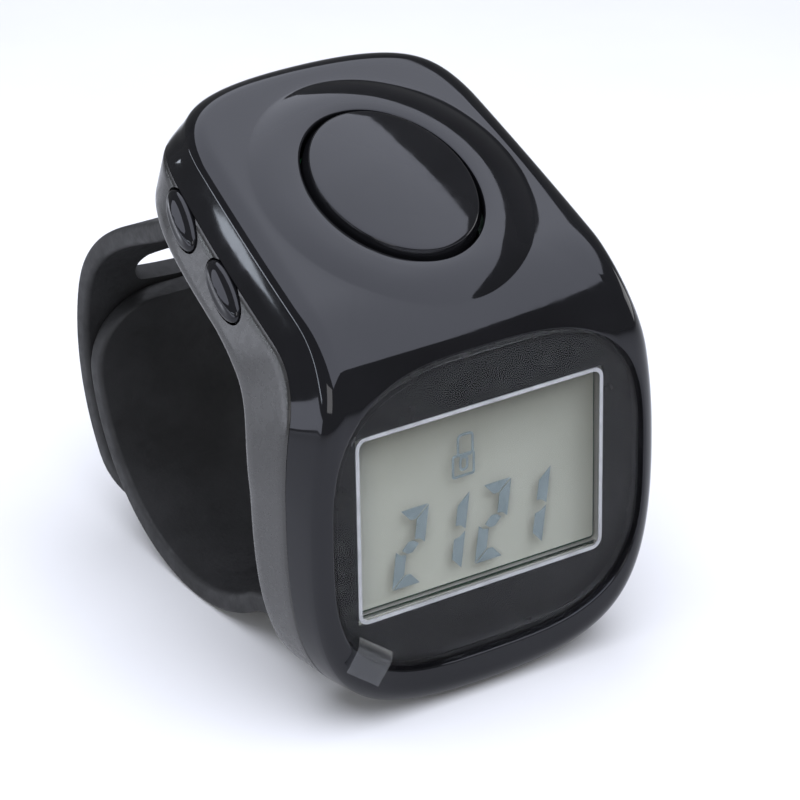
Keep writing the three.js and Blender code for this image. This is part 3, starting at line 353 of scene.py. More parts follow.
def edge_rings(column, start_inset):
    """Rings over the rounded edge, down the wall, under the parting line and back inside."""
    if column[2] is not None:
        x, s = column_end(column, 0)
        return [(x, s, 0)] * 14 + [(x, s, WALL)] * 4
    rings = []
    for share in np.sin(np.radians(np.linspace(0, 90, 9))):
        inset = start_inset * (1 - share)
        rings.append((*column_end(column, inset), round_drop(inset)))
    for depth in np.linspace(EDGE_DROP, PARTING - 0.06, 5)[1:]:
        rings.append((*column_end(column, 0, depth), depth))
    rings.append((*column_end(column, 0.06, PARTING), PARTING))
    for inset, depth in ((WALL, PARTING), (WALL, 1.6), (1.2, 1.25), (EDGE_RUN, WALL)):
        rings.append((*column_end(column, inset, depth), depth))
    return rings


print("line across the bend at run", SPLIT_RUN, "mm, edge distance", round(split_walked, 2))

# %% [markdown]
# ### The pad round the button
# The photo shows it by its reflections. The flat round the button mirrors the same lamp as the top,
# its right slope turns dark and then bright at the foot, and a thin dark line marks the foot itself.
# So it is raised, with a soft shoulder and a crisp foot. Height is added straight up to the case.

# %% Points of the pad
PAD_HALF = (8.8, 9.65)
PAD_RUN = 12.5
PAD_HEIGHT = 0.4
PAD_SHOULDER = 0.76
FOOT_SOFT = 0.035
HOLE_HALF = (5.5, 6.6)
HOLE_ROUND = 0.16
COLLAR_DEPTH = 1.25
COLLAR_WIDTH = 1.4


def top_height(x, y):
    """Height of the case's outer surface over a point of the level top."""
    if y >= bend_tangent:
        run, base = TOP_LENGTH - y, 0.0
    else:
        turn = math.asin(min(1.0, (bend_tangent - y) / BEND_RADIUS))
        run, base = bend_start + BEND_RADIUS * turn, BEND_RADIUS * (math.cos(turn) - 1)
    return base - edge_depth(x, run)


def pad_height(x, y):
    """Height of the pad over the case, with a soft shoulder and a small round at its foot."""
    reach = math.hypot(x / PAD_HALF[0], (y - TOP_LENGTH + PAD_RUN) / PAD_HALF[1])
    if reach <= PAD_SHOULDER:
        return PAD_HEIGHT
    fall = PAD_HEIGHT * (1 - ((reach - PAD_SHOULDER) / (1 - PAD_SHOULDER)) ** 2)
    return (fall + math.sqrt(fall * fall + FOOT_SOFT**2)) / 2


def oval(half, turn):
    """A point of an oval round the button; turn 0 is its rear."""
    return np.array([half[0] * math.sin(turn), TOP_LENGTH - PAD_RUN + half[1] * math.cos(turn)])


# %% Wrap the top
def top_column(column):
    """All points of one column of the top grid, from the button hole and back to it."""
    end = column_end(column, EDGE_RUN)
    start = end if column[2] is not None else column_end(column, 0)
    turn = math.atan2(start[0] / PAD_HALF[0], (PAD_RUN - start[1]) / PAD_HALF[1])
    points = []
    for height in (-COLLAR_DEPTH, -0.1):
        x, y = oval(HOLE_HALF, turn)
        points.append((x, y, height))
    for sine, cosine in arc(-90, 0, 5):
        wide = HOLE_ROUND * (1 + sine)
        x, y = oval((HOLE_HALF[0] + wide, HOLE_HALF[1] + wide), turn)
        points.append((x, y, PAD_HEIGHT - HOLE_ROUND * (1 - cosine)))
    inner = (HOLE_HALF[0] + HOLE_ROUND, HOLE_HALF[1] + HOLE_ROUND)
    for share in (0.2, 0.4, 0.55, 0.65, 0.73, 0.8, 0.86, 0.91, 0.95, 0.975, 0.988, 1.0, 1.012, 1.03):
        half = [a + (b - a) * share for a, b in zip(inner, PAD_HALF)]
        x, y = oval(half, turn)
        points.append((x, y, top_height(x, y) + pad_height(x, y)))
    x, y = points[-1][:2]
    run = TOP_LENGTH - y
    if y < bend_tangent:
        run = bend_start + BEND_RADIUS * math.asin((bend_tangent - y) / BEND_RADIUS)
    inset = np.sqrt(((fine - (abs(x), run)) ** 2).sum(1).min())
    start_inset = first_inset(column, inset)
    target = column_end(column, start_inset)
    for share in (0.15, 0.4, 0.7):
        px, ps = np.array([x, run]) * (1 - share) + target * share
        points.append(outer_point(px, ps, edge_depth(px, ps)))
    points += [outer_point(*ring) for ring in edge_rings(column, start_inset)]
    x, y = oval((HOLE_HALF[0] + COLLAR_WIDTH, HOLE_HALF[1] + COLLAR_WIDTH), turn)
    points += [(x, y, -WALL), (x, y, -COLLAR_DEPTH)]
    x, y = oval(HOLE_HALF, turn)
    points.append((x, y, -COLLAR_DEPTH))
    return points


top_columns = columns_round(0)
top_grid = np.transpose([top_column(c) for c in top_columns + top_columns[:1]], (1, 0, 2))
print("top grid, rings by columns:", top_grid.shape[:2])

# %% [markdown]
# ### The pocket of the window
# The pocket is an oval drawn out towards a rectangle. It is cut square to the face, so its upper edge
# runs up into the bend, where the window stands a little proud of the case.

# %% Wrap the face
WINDOW = (22.9, 20.4)
WINDOW_SQUARENESS = 3.16
WINDOW_FROM_CORNER = 12.1
POCKET_GAP = 0.1
POCKET_ROUND = 0.14
LEDGE_DEPTH = 1.68
LEDGE_LOW = 2.08
OPENING = (18.9, 13.3)
face_run = bend_end - bend_tangent + WINDOW_FROM_CORNER
above_face = WINDOW_FROM_CORNER - bend_tangent
FACE = Matrix.Translation(
    (0, -WINDOW_FROM_CORNER * math.cos(BEND), -WINDOW_FROM_CORNER * math.sin(BEND))
) @ Matrix.Rotation(BEND, 4, "X")


def window_point(turn, grow=0.0):
    """A point of the window's outline, in the face's plane; turn 0 is to the right."""
    return oval_point(turn, WINDOW[0] / 2 + grow, WINDOW[1] / 2 + grow, WINDOW_SQUARENESS)


def run_of(v):
    """Run over the case at a height v on the face's plane."""
    if v <= above_face:
        return face_run - v
    return bend_end - BEND_RADIUS * math.asin(min(1.0, (v - above_face) / BEND_RADIUS))


def height_on_face(run):
    """Height v on the face's plane at a run over the case."""
    if run >= bend_end:
        return face_run - run
    return above_face + BEND_RADIUS * math.sin((bend_end - run) / BEND_RADIUS)


def face_surface(u, v):
    """Height of the case's outer surface over the face's plane."""
    fall = 0.0
    if v > above_face:
        fall = BEND_RADIUS * (1 - math.sqrt(max(0.0, 1 - ((v - above_face) / BEND_RADIUS) ** 2)))
    return -fall - edge_depth(u, run_of(v))


def on_face(u, v, height):
    return tuple(FACE @ Vector((u, v, height)))


def face_column(column):
    """All points of one column of the face grid, from the opening and back to it."""
    end = column_end(column, EDGE_RUN)
    turn = math.atan2(height_on_face(end[1]), end[0])
    u, v = math.cos(turn), math.sin(turn)
    hole = min(OPENING[0] / 2 / max(abs(u), 1e-6), OPENING[1] / 2 / max(abs(v), 1e-6))
    points = [on_face(hole * u, hole * v, -LEDGE_LOW), on_face(hole * u, hole * v, -LEDGE_DEPTH)]
    wall = window_point(turn, POCKET_GAP)
    rim = face_surface(*wall)
    points += [on_face(*wall, -LEDGE_DEPTH), on_face(*wall, rim - 0.45)]
    for sine, cosine in arc(-90, 0, 5):
        around = window_point(turn, POCKET_GAP + POCKET_ROUND * (1 + sine))
        points.append(on_face(*around, face_surface(*around) - POCKET_ROUND * (1 - cosine)))
    start = np.array([around[0], run_of(around[1])])
    inset = np.sqrt(((fine - (abs(start[0]), start[1])) ** 2).sum(1).min())
    start_inset = first_inset(column, inset)
    target = column_end(column, start_inset)
    for share in np.linspace(0, 1, 8)[1:-1]:
        px, ps = start * (1 - share) + target * share
        points.append(outer_point(px, ps, edge_depth(px, ps)))
    points += [outer_point(*ring) for ring in edge_rings(column, start_inset)]
    under = window_point(turn, 0.6)
    points += [on_face(*under, -LEDGE_LOW)]
    points.append(on_face(hole * u, hole * v, -LEDGE_LOW))
    return points


face_columns = columns_round(walked[-1])
face_grid = np.transpose([face_column(c) for c in face_columns + face_columns[:1]], (1, 0, 2))
print("face grid, rings by columns:", face_grid.shape[:2])

# %% Join the two grids into the case
EDGE_RINGS = 18
split_cells = (SIDE_COLUMNS - 1, SIDE_COLUMNS + SPLIT_COLUMNS - 2)
top_first = len(top_grid) - 3 - EDGE_RINGS
face_first = len(face_grid) - 2 - EDGE_RINGS
case_mesh = wrapped(top_grid, (top_first, top_first + EDGE_RINGS - 1), split_cells)
face_mesh = wrapped(face_grid, (face_first, face_first + EDGE_RINGS - 1), split_cells)
spare = bpy.data.meshes.new("spare")
face_mesh.to_mesh(spare)
face_mesh.free()
case_mesh.from_mesh(spare)
bpy.data.meshes.remove(spare)
closed(case_mesh, 2e-3)
print("open edges of the case:", sum(not e.is_manifold for e in case_mesh.edges))
upper_case = piece("case_top_shell", case_mesh, "case")
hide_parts("upper_case")

# %% [markdown]
# ## The count button
# On the real counter it is an oval key with a gentle crown, whose edge is only just rounded: in the
# photo a thin bright line runs round it. Its side is seen on the left, above the dark groove. Rings
# from the centre outwards give it a smooth crown, which a subdivided cylinder would pinch.

# %% Wrap the count button
BUTTON_HALF = (5.17, 6.27)
BUTTON_SKIRT = (5.3, 6.4)
BUTTON_PROUD = 0.38
BUTTON_CROWN = 0.3
BUTTON_ROUND = 0.18
BUTTON_COLUMNS = 120


def crown_height(share):
    """Height of the button over the level top, at a share of its half width."""
    return PAD_HEIGHT + BUTTON_PROUD + BUTTON_CROWN * (1 - share * share)


button_rings = []
for share in (0.0, 0.08, 0.2, 0.35, 0.5, 0.65, 0.78, 0.88, 0.955):
    button_rings.append(([h * share for h in BUTTON_HALF], crown_height(share)))
edge_height = crown_height(0.955)
for sine, cosine in arc(12, 90, 6):
    half = [h * 0.955 + BUTTON_ROUND * (sine - 0.1) for h in BUTTON_HALF]
    button_rings.append((half, edge_height - BUTTON_ROUND * (1 - cosine)))
button_rings.append((BUTTON_SKIRT, PAD_HEIGHT - 0.2))
button_rings.append((BUTTON_SKIRT, -1.1))
button_rings.append(([h - 1.2 for h in BUTTON_SKIRT], -1.1))
button_rings.append(([h - 1.2 for h in BUTTON_SKIRT], 0.1))
button_rings.append(((0, 0), 0.1))
button_turns = np.linspace(0, 2 * math.pi, BUTTON_COLUMNS + 1)
button_grid = [[(*oval(half, turn), height) for turn in button_turns] for half, height in button_rings]
count_button = piece("count_button_cap", closed(wrapped(button_grid)), "count_key")
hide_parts("count_button")

# %% [markdown]
# ## The side buttons
# Two small long ovals on the left wall, each with a ridge along its middle for the fingernail. The ridge is
# a bump in the height of one grid, so that it flows out of the oval as it does in a moulding.

# %% Wrap the side buttons
SIDE_RUNS = (7.85, 14.0)
SIDE_LENGTH = 4.6
SIDE_HEIGHT = 1.9
SIDE_DEPTH = 3.6
SIDE_PROUD = 0.42
SIDE_TILT = math.radians(8)
SIDE_RIDGE = 0.34
SIDE_RIDGE_WIDTH = 0.26
SIDE_ROUND = 0.3
SIDE_SQUARENESS = 2.15
SIDE_HOLE_GAP = 0.26


def wall_at(run, share):
    """Half-width of the case at a run, and the turn of its wall there."""
    points = fine * (1 - share) + low_fine * share
    before, middle, after = (np.interp(run + d, points[:, 1], points[:, 0]) for d in (-0.5, 0, 0.5))
    return middle, math.atan2(before - after, 1.0)


def side_frame(run):
    """Stands on the left wall: x up, y to the rear and z outwards, leaning and tilted as the buttons are."""
    half, turn = wall_at(run, flare_share(SIDE_DEPTH))
    lean = math.atan((wall_at(run, 1)[0] - wall_at(run, 0)[0]) * math.cos(turn) / FLARE_ROOM)
    return (
        Matrix.Translation((-half, TOP_LENGTH - run, -SIDE_DEPTH))
        @ Matrix.Rotation(turn, 4, "Z")
        @ Matrix.Rotation(-math.pi / 2, 4, "Y")
        @ Matrix.Rotation(lean, 4, "Y")
        @ Matrix.Rotation(-SIDE_TILT, 4, "Z")
    )


def key_corners(gap=0.0):
    """The long oval of a side button, or of the hole that is wider by a gap."""
    return oval_corners((SIDE_HEIGHT + gap) / 2, (SIDE_LENGTH + gap) / 2, 72, SIDE_SQUARENESS)


def side_key(name, body, run):
    """A side button: rings from its middle over the round edge and down its side."""
    rings = [(share, SIDE_PROUD * (1 - 0.25 * share * share)) for share in (0.0, 0.15, 0.3, 0.45, 0.6, 0.7)]
    for sine, cosine in arc(10, 90, 6):
        rings.append((0.78 + 0.22 * sine, SIDE_PROUD * 0.84 - SIDE_ROUND * (1 - cosine)))
    rings += [(1.0, -0.6), (1.0, -1.3)]
    outline = key_corners()
    grid = []
    for share, height in rings:
        row = []
        for u, v in outline + outline[:1]:
            x, y = u * share, v * share
            ends = max(0.0, 1 - (abs(y) / (SIDE_LENGTH * 0.42)) ** 2)
            ridge = SIDE_RIDGE * math.exp(-((x / SIDE_RIDGE_WIDTH) ** 2)) * ends if height > 0 else 0
            row.append((x, y, height + ridge))
        grid.append(row)
    grid.append([(0, 0, -1.3)] * len(grid[0]))
    return piece(name, closed(wrapped(grid)), body, STAND @ side_frame(run))


for end, body, run in zip(("rear", "front"), ("rear_key", "front_key"), SIDE_RUNS):
    key = side_key(f"side_key_{end}", body, run)
    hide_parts(f"side_button_{end}")

# %% [markdown]
# ## The satin lower case
# It is a tray under the upper case: a wall that goes on flaring out, a rounded lower edge and the saddle
# for the finger. A grid round the outline makes the tray. The holes for the side buttons, the straps,
# the screws and the battery door are then cut from it, each a little larger than what sits in it.

# %% Wrap the tray
TRAY_COLUMNS = 150
FLOOR = 1.0


def tray_column(distance, side):
    """One column of the tray: over the rim, down the wall, under the saddle and back inside."""

    def edge(inset, depth):
        x, s = on_edge(distance, inset, flare_share(depth))
        return x * side, s

    rim = LOWER_RIM
    points = [outer_point(*edge(WALL, rim), rim), outer_point(*edge(0.1, rim), rim)]
    points.append(outer_point(*edge(0.0, rim), rim + 0.08))
    top = np.array(outer_point(*edge(0.0, rim + 0.2), rim + 0.2))
    low = np.array(saddle_point(*edge(0.0, TOP_THICK), SADDLE_EDGE))
    points += [tuple(p) for p in blended(top, low, 7)]
    for sine, cosine in arc(90, 0, 7)[1:]:
        inset = SADDLE_EDGE * (1 - sine)
        points.append(saddle_point(*edge(inset, TOP_THICK), SADDLE_EDGE * (1 - cosine)))
    x, s = edge(SADDLE_EDGE, TOP_THICK)
    points += [saddle_point(x * share, s, 0) for share in (0.85, 0.6, 0.3, 0.0)]
    x, s = edge(WALL + 0.3, TOP_THICK - FLOOR)
    points += [saddle_point(x * share, s, FLOOR) for share in (0.0, 0.5, 1.0)]
    points.append(saddle_point(*edge(WALL, TOP_THICK - FLOOR - 0.3), FLOOR + 0.3))
    points.append(outer_point(*edge(WALL, rim), rim))
    return points


tray_walk = np.linspace(0, walked[-1], TRAY_COLUMNS)
tray_columns = [(d, 1) for d in tray_walk] + [(d, -1) for d in tray_walk[::-1]]
tray_grid = np.transpose([tray_column(*c) for c in tray_columns], (1, 0, 2))
CENTRE_ROW = 19
tray_mesh = closed(wrapped(tray_grid, (CENTRE_ROW, CENTRE_ROW + 1), (0, len(tray_columns))), 2e-3)
print("open edges of the tray:", sum(not e.is_manifold for e in tray_mesh.edges))

# %% Cutters for the tray
FIT = 0.2
NECK_WIDTH = 12.0
STRAP_THICK = 1.4
BEAD = 1.3
UPPER_ANCHOR_DEPTH = 4.1
LOWER_ANCHOR_DEPTH = 4.3
UPPER_ANCHOR = (TOP_LENGTH - 4.5, -UPPER_ANCHOR_DEPTH)
lower_anchor = FACE @ Vector((0, -9.5, -LOWER_ANCHOR_DEPTH))
LOWER_ANCHOR = (lower_anchor.y, lower_anchor.z)
UPPER_SWING = math.radians(30)
LOWER_SWING = math.radians(6)
CELL_RUN = 12.1
CELL_RADIUS = 4.75
DOOR_MARGIN = 0.7
DOOR_TURN = math.radians(40)
DOOR_HALF = 6.3
SCREW_HEAD = 1.2


def prism(corners, low, high, matrix=Matrix.Identity(4)):
    """A closed prism over flat corners, from low to high."""
    mesh = bmesh.new()
    corner_verts = [mesh.verts.new((x, y, low)) for x, y in corners]
    face = mesh.faces.new(corner_verts)
    grown = bmesh.ops.extrude_face_region(mesh, geom=[face])
    moved = [g for g in grown["geom"] if isinstance(g, bmesh.types.BMVert)]
    bmesh.ops.translate(mesh, verts=moved, vec=(0, 0, high - low))
    bmesh.ops.transform(mesh, matrix=matrix, verts=mesh.verts)
    return mesh


ACROSS = Matrix(((0, 0, 1, 0), (1, 0, 0, 0), (0, 1, 0, 0), (0, 0, 0, 1)))


def strap_mouth(anchor, turn, drop, swing, side):
    """The mouth for a strap's neck, flared on the side to which the strap swings."""
    half = STRAP_THICK / 2 + FIT / 2
    reach = half / math.cos(swing) + (drop + 1) * math.tan(swing)
    mouth = [(-side * half, 0), (side * half, 0), (side * reach, -drop - 1), (-side * half, -drop - 1)]
    width = NECK_WIDTH / 2 + FIT
    place = Matrix.Translation((0, *anchor)) @ Matrix.Rotation(turn, 4, "X") @ ACROSS
    return prism(mouth, -width, width, place)


def door_corners(low, high, grow):
    """The side view of the battery door: flat under the cell, then round with the saddle."""
    turns = np.linspace(math.pi / 2 + DOOR_TURN + grow / SADDLE_RADIUS, math.pi / 2, 18)
    rear = TOP_LENGTH - CELL_RUN + CELL_RADIUS + DOOR_MARGIN + grow
    y0, z0 = SADDLE_CENTRE
    inner, outer = (
        [(y0 + reach * math.cos(t), z0 + reach * math.sin(t)) for t in turns]
        for reach in (SADDLE_RADIUS + low, SADDLE_RADIUS + high)
    )
    return inner + [(rear, low - TOP_THICK), (rear, high - TOP_THICK)] + outer[::-1]


TOP = Matrix.Translation((0, TOP_LENGTH - PAD_RUN, 0))
SCREW_SPOTS = [
    (frame_matrix, side * x, y, thick)
    for frame_matrix, x, y, thick in ((TOP, 7.6, PAD_RUN - 3.9, TOP_THICK), (FACE, 9.0, -9.4, FACE_THICK))
    for side in (-1, 1)
]
cutters = [
    strap_mouth(UPPER_ANCHOR, 0, TOP_THICK - UPPER_ANCHOR_DEPTH, UPPER_SWING, 1),
    strap_mouth(LOWER_ANCHOR, BEND, FACE_THICK - LOWER_ANCHOR_DEPTH, LOWER_SWING, -1),
    prism(door_corners(-1, 0.85, 0.1), -DOOR_HALF, DOOR_HALF, ACROSS),
]
for place, x, y, thick in SCREW_SPOTS:
    spot = place @ Matrix.Translation((x, y, 0))
    cutters.append(prism(oval_corners(SCREW_HEAD, SCREW_HEAD), -thick - 1, -thick + 0.8, spot))
for run in SIDE_RUNS:
    cutters.append(prism(key_corners(SIDE_HOLE_GAP), -2.5, 1, side_frame(run)))
print("cutters for the tray:", len(cutters))


# %% Cut the tray
def cut(mesh, tools):
    """The mesh less all tools, by Blender's own Boolean, as a new bmesh."""
    for used in (mesh, *tools):
        bmesh.ops.recalc_face_normals(used, faces=used.faces)
    body = as_object("cut_body", mesh)
    helpers = [as_object(f"cutter_{i}", tool) for i, tool in enumerate(tools)]
    for helper in helpers:
        cutting = body.modifiers.new("cut", "BOOLEAN")
        cutting.operation = "DIFFERENCE"
        cutting.solver = "EXACT"
        cutting.object = helper
    depsgraph = bpy.context.evaluated_depsgraph_get()
    result = bmesh.new()
    result.from_mesh(body.evaluated_get(depsgraph).to_mesh())
    for used in [body, *helpers]:
        bpy.data.objects.remove(used)
    return result


lower_case = piece("case_tray", cut(tray_mesh, cutters), "case", sharp=30)
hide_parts("lower_case")

# %% [markdown]
# ## The window
# A clear moulding in the pocket, with black and a thin silver frame printed on its back. The clear
# piece has a small bevel round its front edge, which draws the bright line that the photo shows.

# %% Make the window
WINDOW_TOP = -0.35
WINDOW_THICK = 1.0
WINDOW_BEVEL = 0.14
PRINT_LOW = -1.48
PRINT_HIGH = -1.4
BORDER = (18.3, 12.7)
BORDER_LINE = 0.26
BORDER_CORNER = 0.75


def window_corners(grow=0.0, count=160):
    return [window_point(t, grow) for t in np.linspace(0, 2 * math.pi, count, endpoint=False)]


def rim_edges(mesh, height):
    """Edges that lie flat at that height."""
    return [e for e in mesh.edges if all(abs(v.co.z - height) < 1e-5 for v in e.verts)]


lens_mesh = prism(window_corners(), WINDOW_TOP - WINDOW_THICK, WINDOW_TOP)
bmesh.ops.bevel(
    lens_mesh, geom=rim_edges(lens_mesh, WINDOW_TOP), offset=WINDOW_BEVEL, segments=3,
    profile=0.5, affect="EDGES", material=-1,
)
bmesh.ops.recalc_face_normals(lens_mesh, faces=lens_mesh.faces)
lens = piece("window_clear", lens_mesh, "case", STAND @ FACE)
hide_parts("display_lens")


def frame_outline(half_x, half_y, corner, steps=8):
    """A rectangle with rounded corners."""
    corners = []
    for cx, cy, first in ((1, 1, 0), (-1, 1, 90), (-1, -1, 180), (1, -1, 270)):
        for turn in np.radians(np.linspace(first, first + 90, steps)):
            corners.append((
                cx * (half_x - corner) + corner * math.cos(turn),
                cy * (half_y - corner) + corner * math.sin(turn),
            ))
    return corners


def flat_ring(outer, inner, low, high):
    """A flat ring between two outlines of as many points each."""
    rows = [[(x, y, z) for x, y in line] for line, z in (
        (outer, low), (outer, high), (inner, high), (inner, low), (outer, low))]
    return closed(wrapped([row + row[:1] for row in rows]), 1e-4)


border_half = (BORDER[0] / 2, BORDER[1] / 2)
border_ring = flat_ring(
    frame_outline(*border_half, BORDER_CORNER),
    frame_outline(*(h - BORDER_LINE for h in border_half), BORDER_CORNER - BORDER_LINE),
    PRINT_LOW, PRINT_HIGH,
)
border = piece("window_frame_print", border_ring, "case", STAND @ FACE)
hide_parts("window_border")

BLACK_TURNS = np.linspace(0, 2 * math.pi, 240, endpoint=False)
black_outer = [window_point(t, -0.03) for t in BLACK_TURNS]
black_inner = []
for t in BLACK_TURNS:
    u, v = math.cos(t), math.sin(t)
    reach = min((h + 0.02) / max(abs(k), 1e-6) for h, k in zip(border_half, (u, v)))
    black_inner.append((reach * u, reach * v))
black_ring = flat_ring(black_outer, black_inner, PRINT_LOW, PRINT_HIGH)
print_black = piece("window_black_print", black_ring, "case", STAND @ FACE)
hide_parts("lens_print")

# %% [markdown]
# ### The film on the window
# The counter still wears its clear film, with a peel tab that stands over the lower left corner. The
# sheet is thin and flat; the tab is a short strip that rises from it, in a hazier material.

# %% Lay the film and its tab
FILM_LOW = WINDOW_TOP + 0.03
FILM_THICK = 0.05
FILM_INSET = 0.3
TAB_ROOT = (-9.0, -7.87)
TAB_SIZE = (3.0, 1.55)
TAB_START = -0.7
TAB_TURN = math.radians(37.3)
TAB_LIFT = 0.42
film = piece(
    "window_film",
    prism(window_corners(-FILM_INSET), FILM_LOW, FILM_LOW + FILM_THICK),
    "case",
    STAND @ FACE,
)
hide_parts("protective_film")


def tab_row(share):
    """One cross line of the tab: a closed loop of four corners round its thickness."""
    length = TAB_START + (TAB_SIZE[1] - TAB_START) * share
    rise = TAB_LIFT * math.sin(min(1.0, share / 0.4) * math.pi / 2) + 0.1 * share**3
    lift = FILM_LOW + FILM_THICK + 0.01 + rise
    half = TAB_SIZE[0] / 2 * (1 - 0.06 * share)
    row = []
    for x, h in ((-half, 0), (half, 0), (half, FILM_THICK), (-half, FILM_THICK), (-half, 0)):
        u = TAB_ROOT[0] + x * math.cos(TAB_TURN) - length * math.sin(TAB_TURN)
        v = TAB_ROOT[1] - x * math.sin(TAB_TURN) - length * math.cos(TAB_TURN)
        row.append((u, v, lift + h))
    return row


tab_mesh = wrapped([tab_row(share) for share in np.linspace(0, 1, 15)])
bmesh.ops.remove_doubles(tab_mesh, verts=tab_mesh.verts, dist=1e-4)
bmesh.ops.holes_fill(tab_mesh, edges=[e for e in tab_mesh.edges if not e.is_manifold], sides=4)
bmesh.ops.recalc_face_normals(tab_mesh, faces=tab_mesh.faces)
tab = piece("film_tab", tab_mesh, "case", STAND @ FACE)

# %% [markdown]
# ### The digits
# A liquid crystal shows seven straight segments for each digit. They lie between the two glasses, half
# a millimetre over the silvery reflector, and so each one throws its own soft shadow. Every segment is
# a thin plate with pointed ends. The count is four digits, and a small lock sign stands over them.

# %% Draw the digits
DIGIT_PLANE = -2.865
DIGIT_THICK = 0.02
DIGIT_HEIGHT = 5.25
DIGIT_WIDTH = 2.1
DIGIT_LINE = 0.78
DIGIT_SLANT = 0.13
DIGIT_GAP = 0.07
DIGIT_TOP = -0.22
DIGIT_RIGHTS = (-3.02, 0.0, 3.12, 6.1)
COUNT = "2121"
SEGMENTS = {"2": "abged", "1": "bc"}


def segment_corners(letter):
    """Corners of one segment, with the digit's upper right corner at the origin."""
    w, h, t, g = DIGIT_WIDTH, DIGIT_HEIGHT, DIGIT_LINE, DIGIT_GAP
    middle = -h / 2
    shapes = {
        "a": [(-w + g, 0), (-g, 0), (-t - g, -t), (-w + t + g, -t)],
        "b": [
            (0, -g), (0, middle + g), (-t / 2, middle + t / 2), (-t, middle + t / 2 + g), (-t, -t - g),
        ],
        "c": [
            (0, middle - g), (0, -h + g), (-t, -h + t + g),
            (-t, middle - t / 2 - g), (-t / 2, middle - t / 2),
        ],
        "d": [(-w + g, -h), (-g, -h), (-t - g, -h + t), (-w + t + g, -h + t)],
        "e": [
            (-w, middle - g), (-w, -h + g), (-w + t, -h + t + g),
            (-w + t, middle - t / 2 - g), (-w + t / 2, middle - t / 2),
        ],
        "g": [
            (-w + t / 2 + g, middle - 0.1), (-w + t + g, middle + t / 2), (-t - g, middle + t / 2),
            (-t / 2 - g, middle + 0.1), (-t - g, middle - t / 2), (-w + t + g, middle - t / 2),
        ],
    }
    return shapes[letter]


def joined(meshes):
    """All meshes in one."""
    whole = bmesh.new()
    for mesh in meshes:
        part = bpy.data.meshes.new("part")
        mesh.to_mesh(part)
        mesh.free()
        whole.from_mesh(part)
        bpy.data.meshes.remove(part)
    bmesh.ops.recalc_face_normals(whole, faces=whole.faces)
    return whole


FRONT_GLASS = (20.0, 15.0)
FRONT_GLASS_SHIFT = 0.7
FRONT_GLASS_LOW = -2.83
FRONT_GLASS_HIGH = -2.13
front_glass = piece(
    "display_front_glass",
    prism(frame_outline(*(f / 2 for f in FRONT_GLASS), 0.3), FRONT_GLASS_LOW, FRONT_GLASS_HIGH),
    "case",
    STAND @ FACE @ Matrix.Translation((0, FRONT_GLASS_SHIFT, 0)),
)
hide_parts("lcd_front_polariser", "lcd_front_glass")

for place, (digit, right) in enumerate(zip(COUNT, DIGIT_RIGHTS)):
    plates = []
    for letter in SEGMENTS[digit]:
        corners = [(right + x + DIGIT_SLANT * y, DIGIT_TOP + y) for x, y in segment_corners(letter)]
        plates.append(prism(corners, DIGIT_PLANE, DIGIT_PLANE + DIGIT_THICK))
    shown = piece(f"display_digit_{place + 1}", joined(plates), "case", STAND @ FACE)

# The shackle, the body and the mark in it, each by its centre, half width, half height and corner
LOCK_LINE = 0.17
LOCK_PARTS = ((-0.3, 3.0, 0.62, 0.8, 0.35), (-0.45, 1.65, 0.85, 0.8, 0.2), (-0.42, 1.75, 0.34, 0.5, 0.3))
lock_rings = []
for u, v, half_x, half_y, round_to in LOCK_PARTS:
    outer = [(u + x, v + y) for x, y in frame_outline(half_x, half_y, round_to)]
    inner = [
        (u + x, v + y)
        for x, y in frame_outline(half_x - LOCK_LINE, half_y - LOCK_LINE, max(0.03, round_to - LOCK_LINE))
    ]
    lock_rings.append(flat_ring(outer, inner, DIGIT_PLANE, DIGIT_PLANE + DIGIT_THICK))
lock_sign = piece("display_lock_sign", joined(lock_rings), "case", STAND @ FACE)

# %% [markdown]
# ## The straps
# Each strap is one moulding of silicone: a bead that snaps into the case, a narrow neck, shoulders and
# a band that follows a ring round the finger. A closed cross-section is carried along the middle line.
# The outer strap has three slots, and the peg of the inner one stands in one of them.

# %% Middle lines of the straps
FINGER_CENTRE = np.array([13.5, -19.0])
FINGER_RADIUS = 11.9
STRAP_HALF = 9.7
STRAP_EDGE = 0.38
LOWER_RING = FINGER_RADIUS + STRAP_THICK / 2
UPPER_RING = LOWER_RING + STRAP_THICK + 0.15


def on_ring(radius, degrees):
    turn = math.radians(degrees)
    return FINGER_CENTRE + radius * np.array([math.cos(turn), math.sin(turn)])


def middle_line(anchor, out, neck, radius, first, last, pulls):
    """Points from the anchor, down the neck, through a curve and round the finger."""
    anchor, out = np.array(anchor), np.array(out)
    low = anchor + out * neck
    start = on_ring(radius, first)
    turn = math.radians(first)
    back = math.copysign(1, first - last) * np.array([-math.sin(turn), math.cos(turn)])
    curve = bezier((low, low + out * pulls[0], start + back * pulls[1], start), np.linspace(0, 1, 60))
    ring = [on_ring(radius, d) for d in np.linspace(first, last, 120)]
    return np.concatenate([blended(anchor, low, 12)[:-1], curve[:-1], ring])


NECK_BELOW_CASE = 1.2
upper_neck = TOP_THICK - UPPER_ANCHOR_DEPTH + NECK_BELOW_CASE
lower_neck = FACE_THICK - LOWER_ANCHOR_DEPTH + NECK_BELOW_CASE
upper_line = middle_line(UPPER_ANCHOR, (0, -1), upper_neck, UPPER_RING, -10, -82, (3, 6.6))
lower_line = middle_line(
    LOWER_ANCHOR, (math.sin(BEND), -math.cos(BEND)), lower_neck, LOWER_RING, -147, -11, (1.6, 2.2)
)


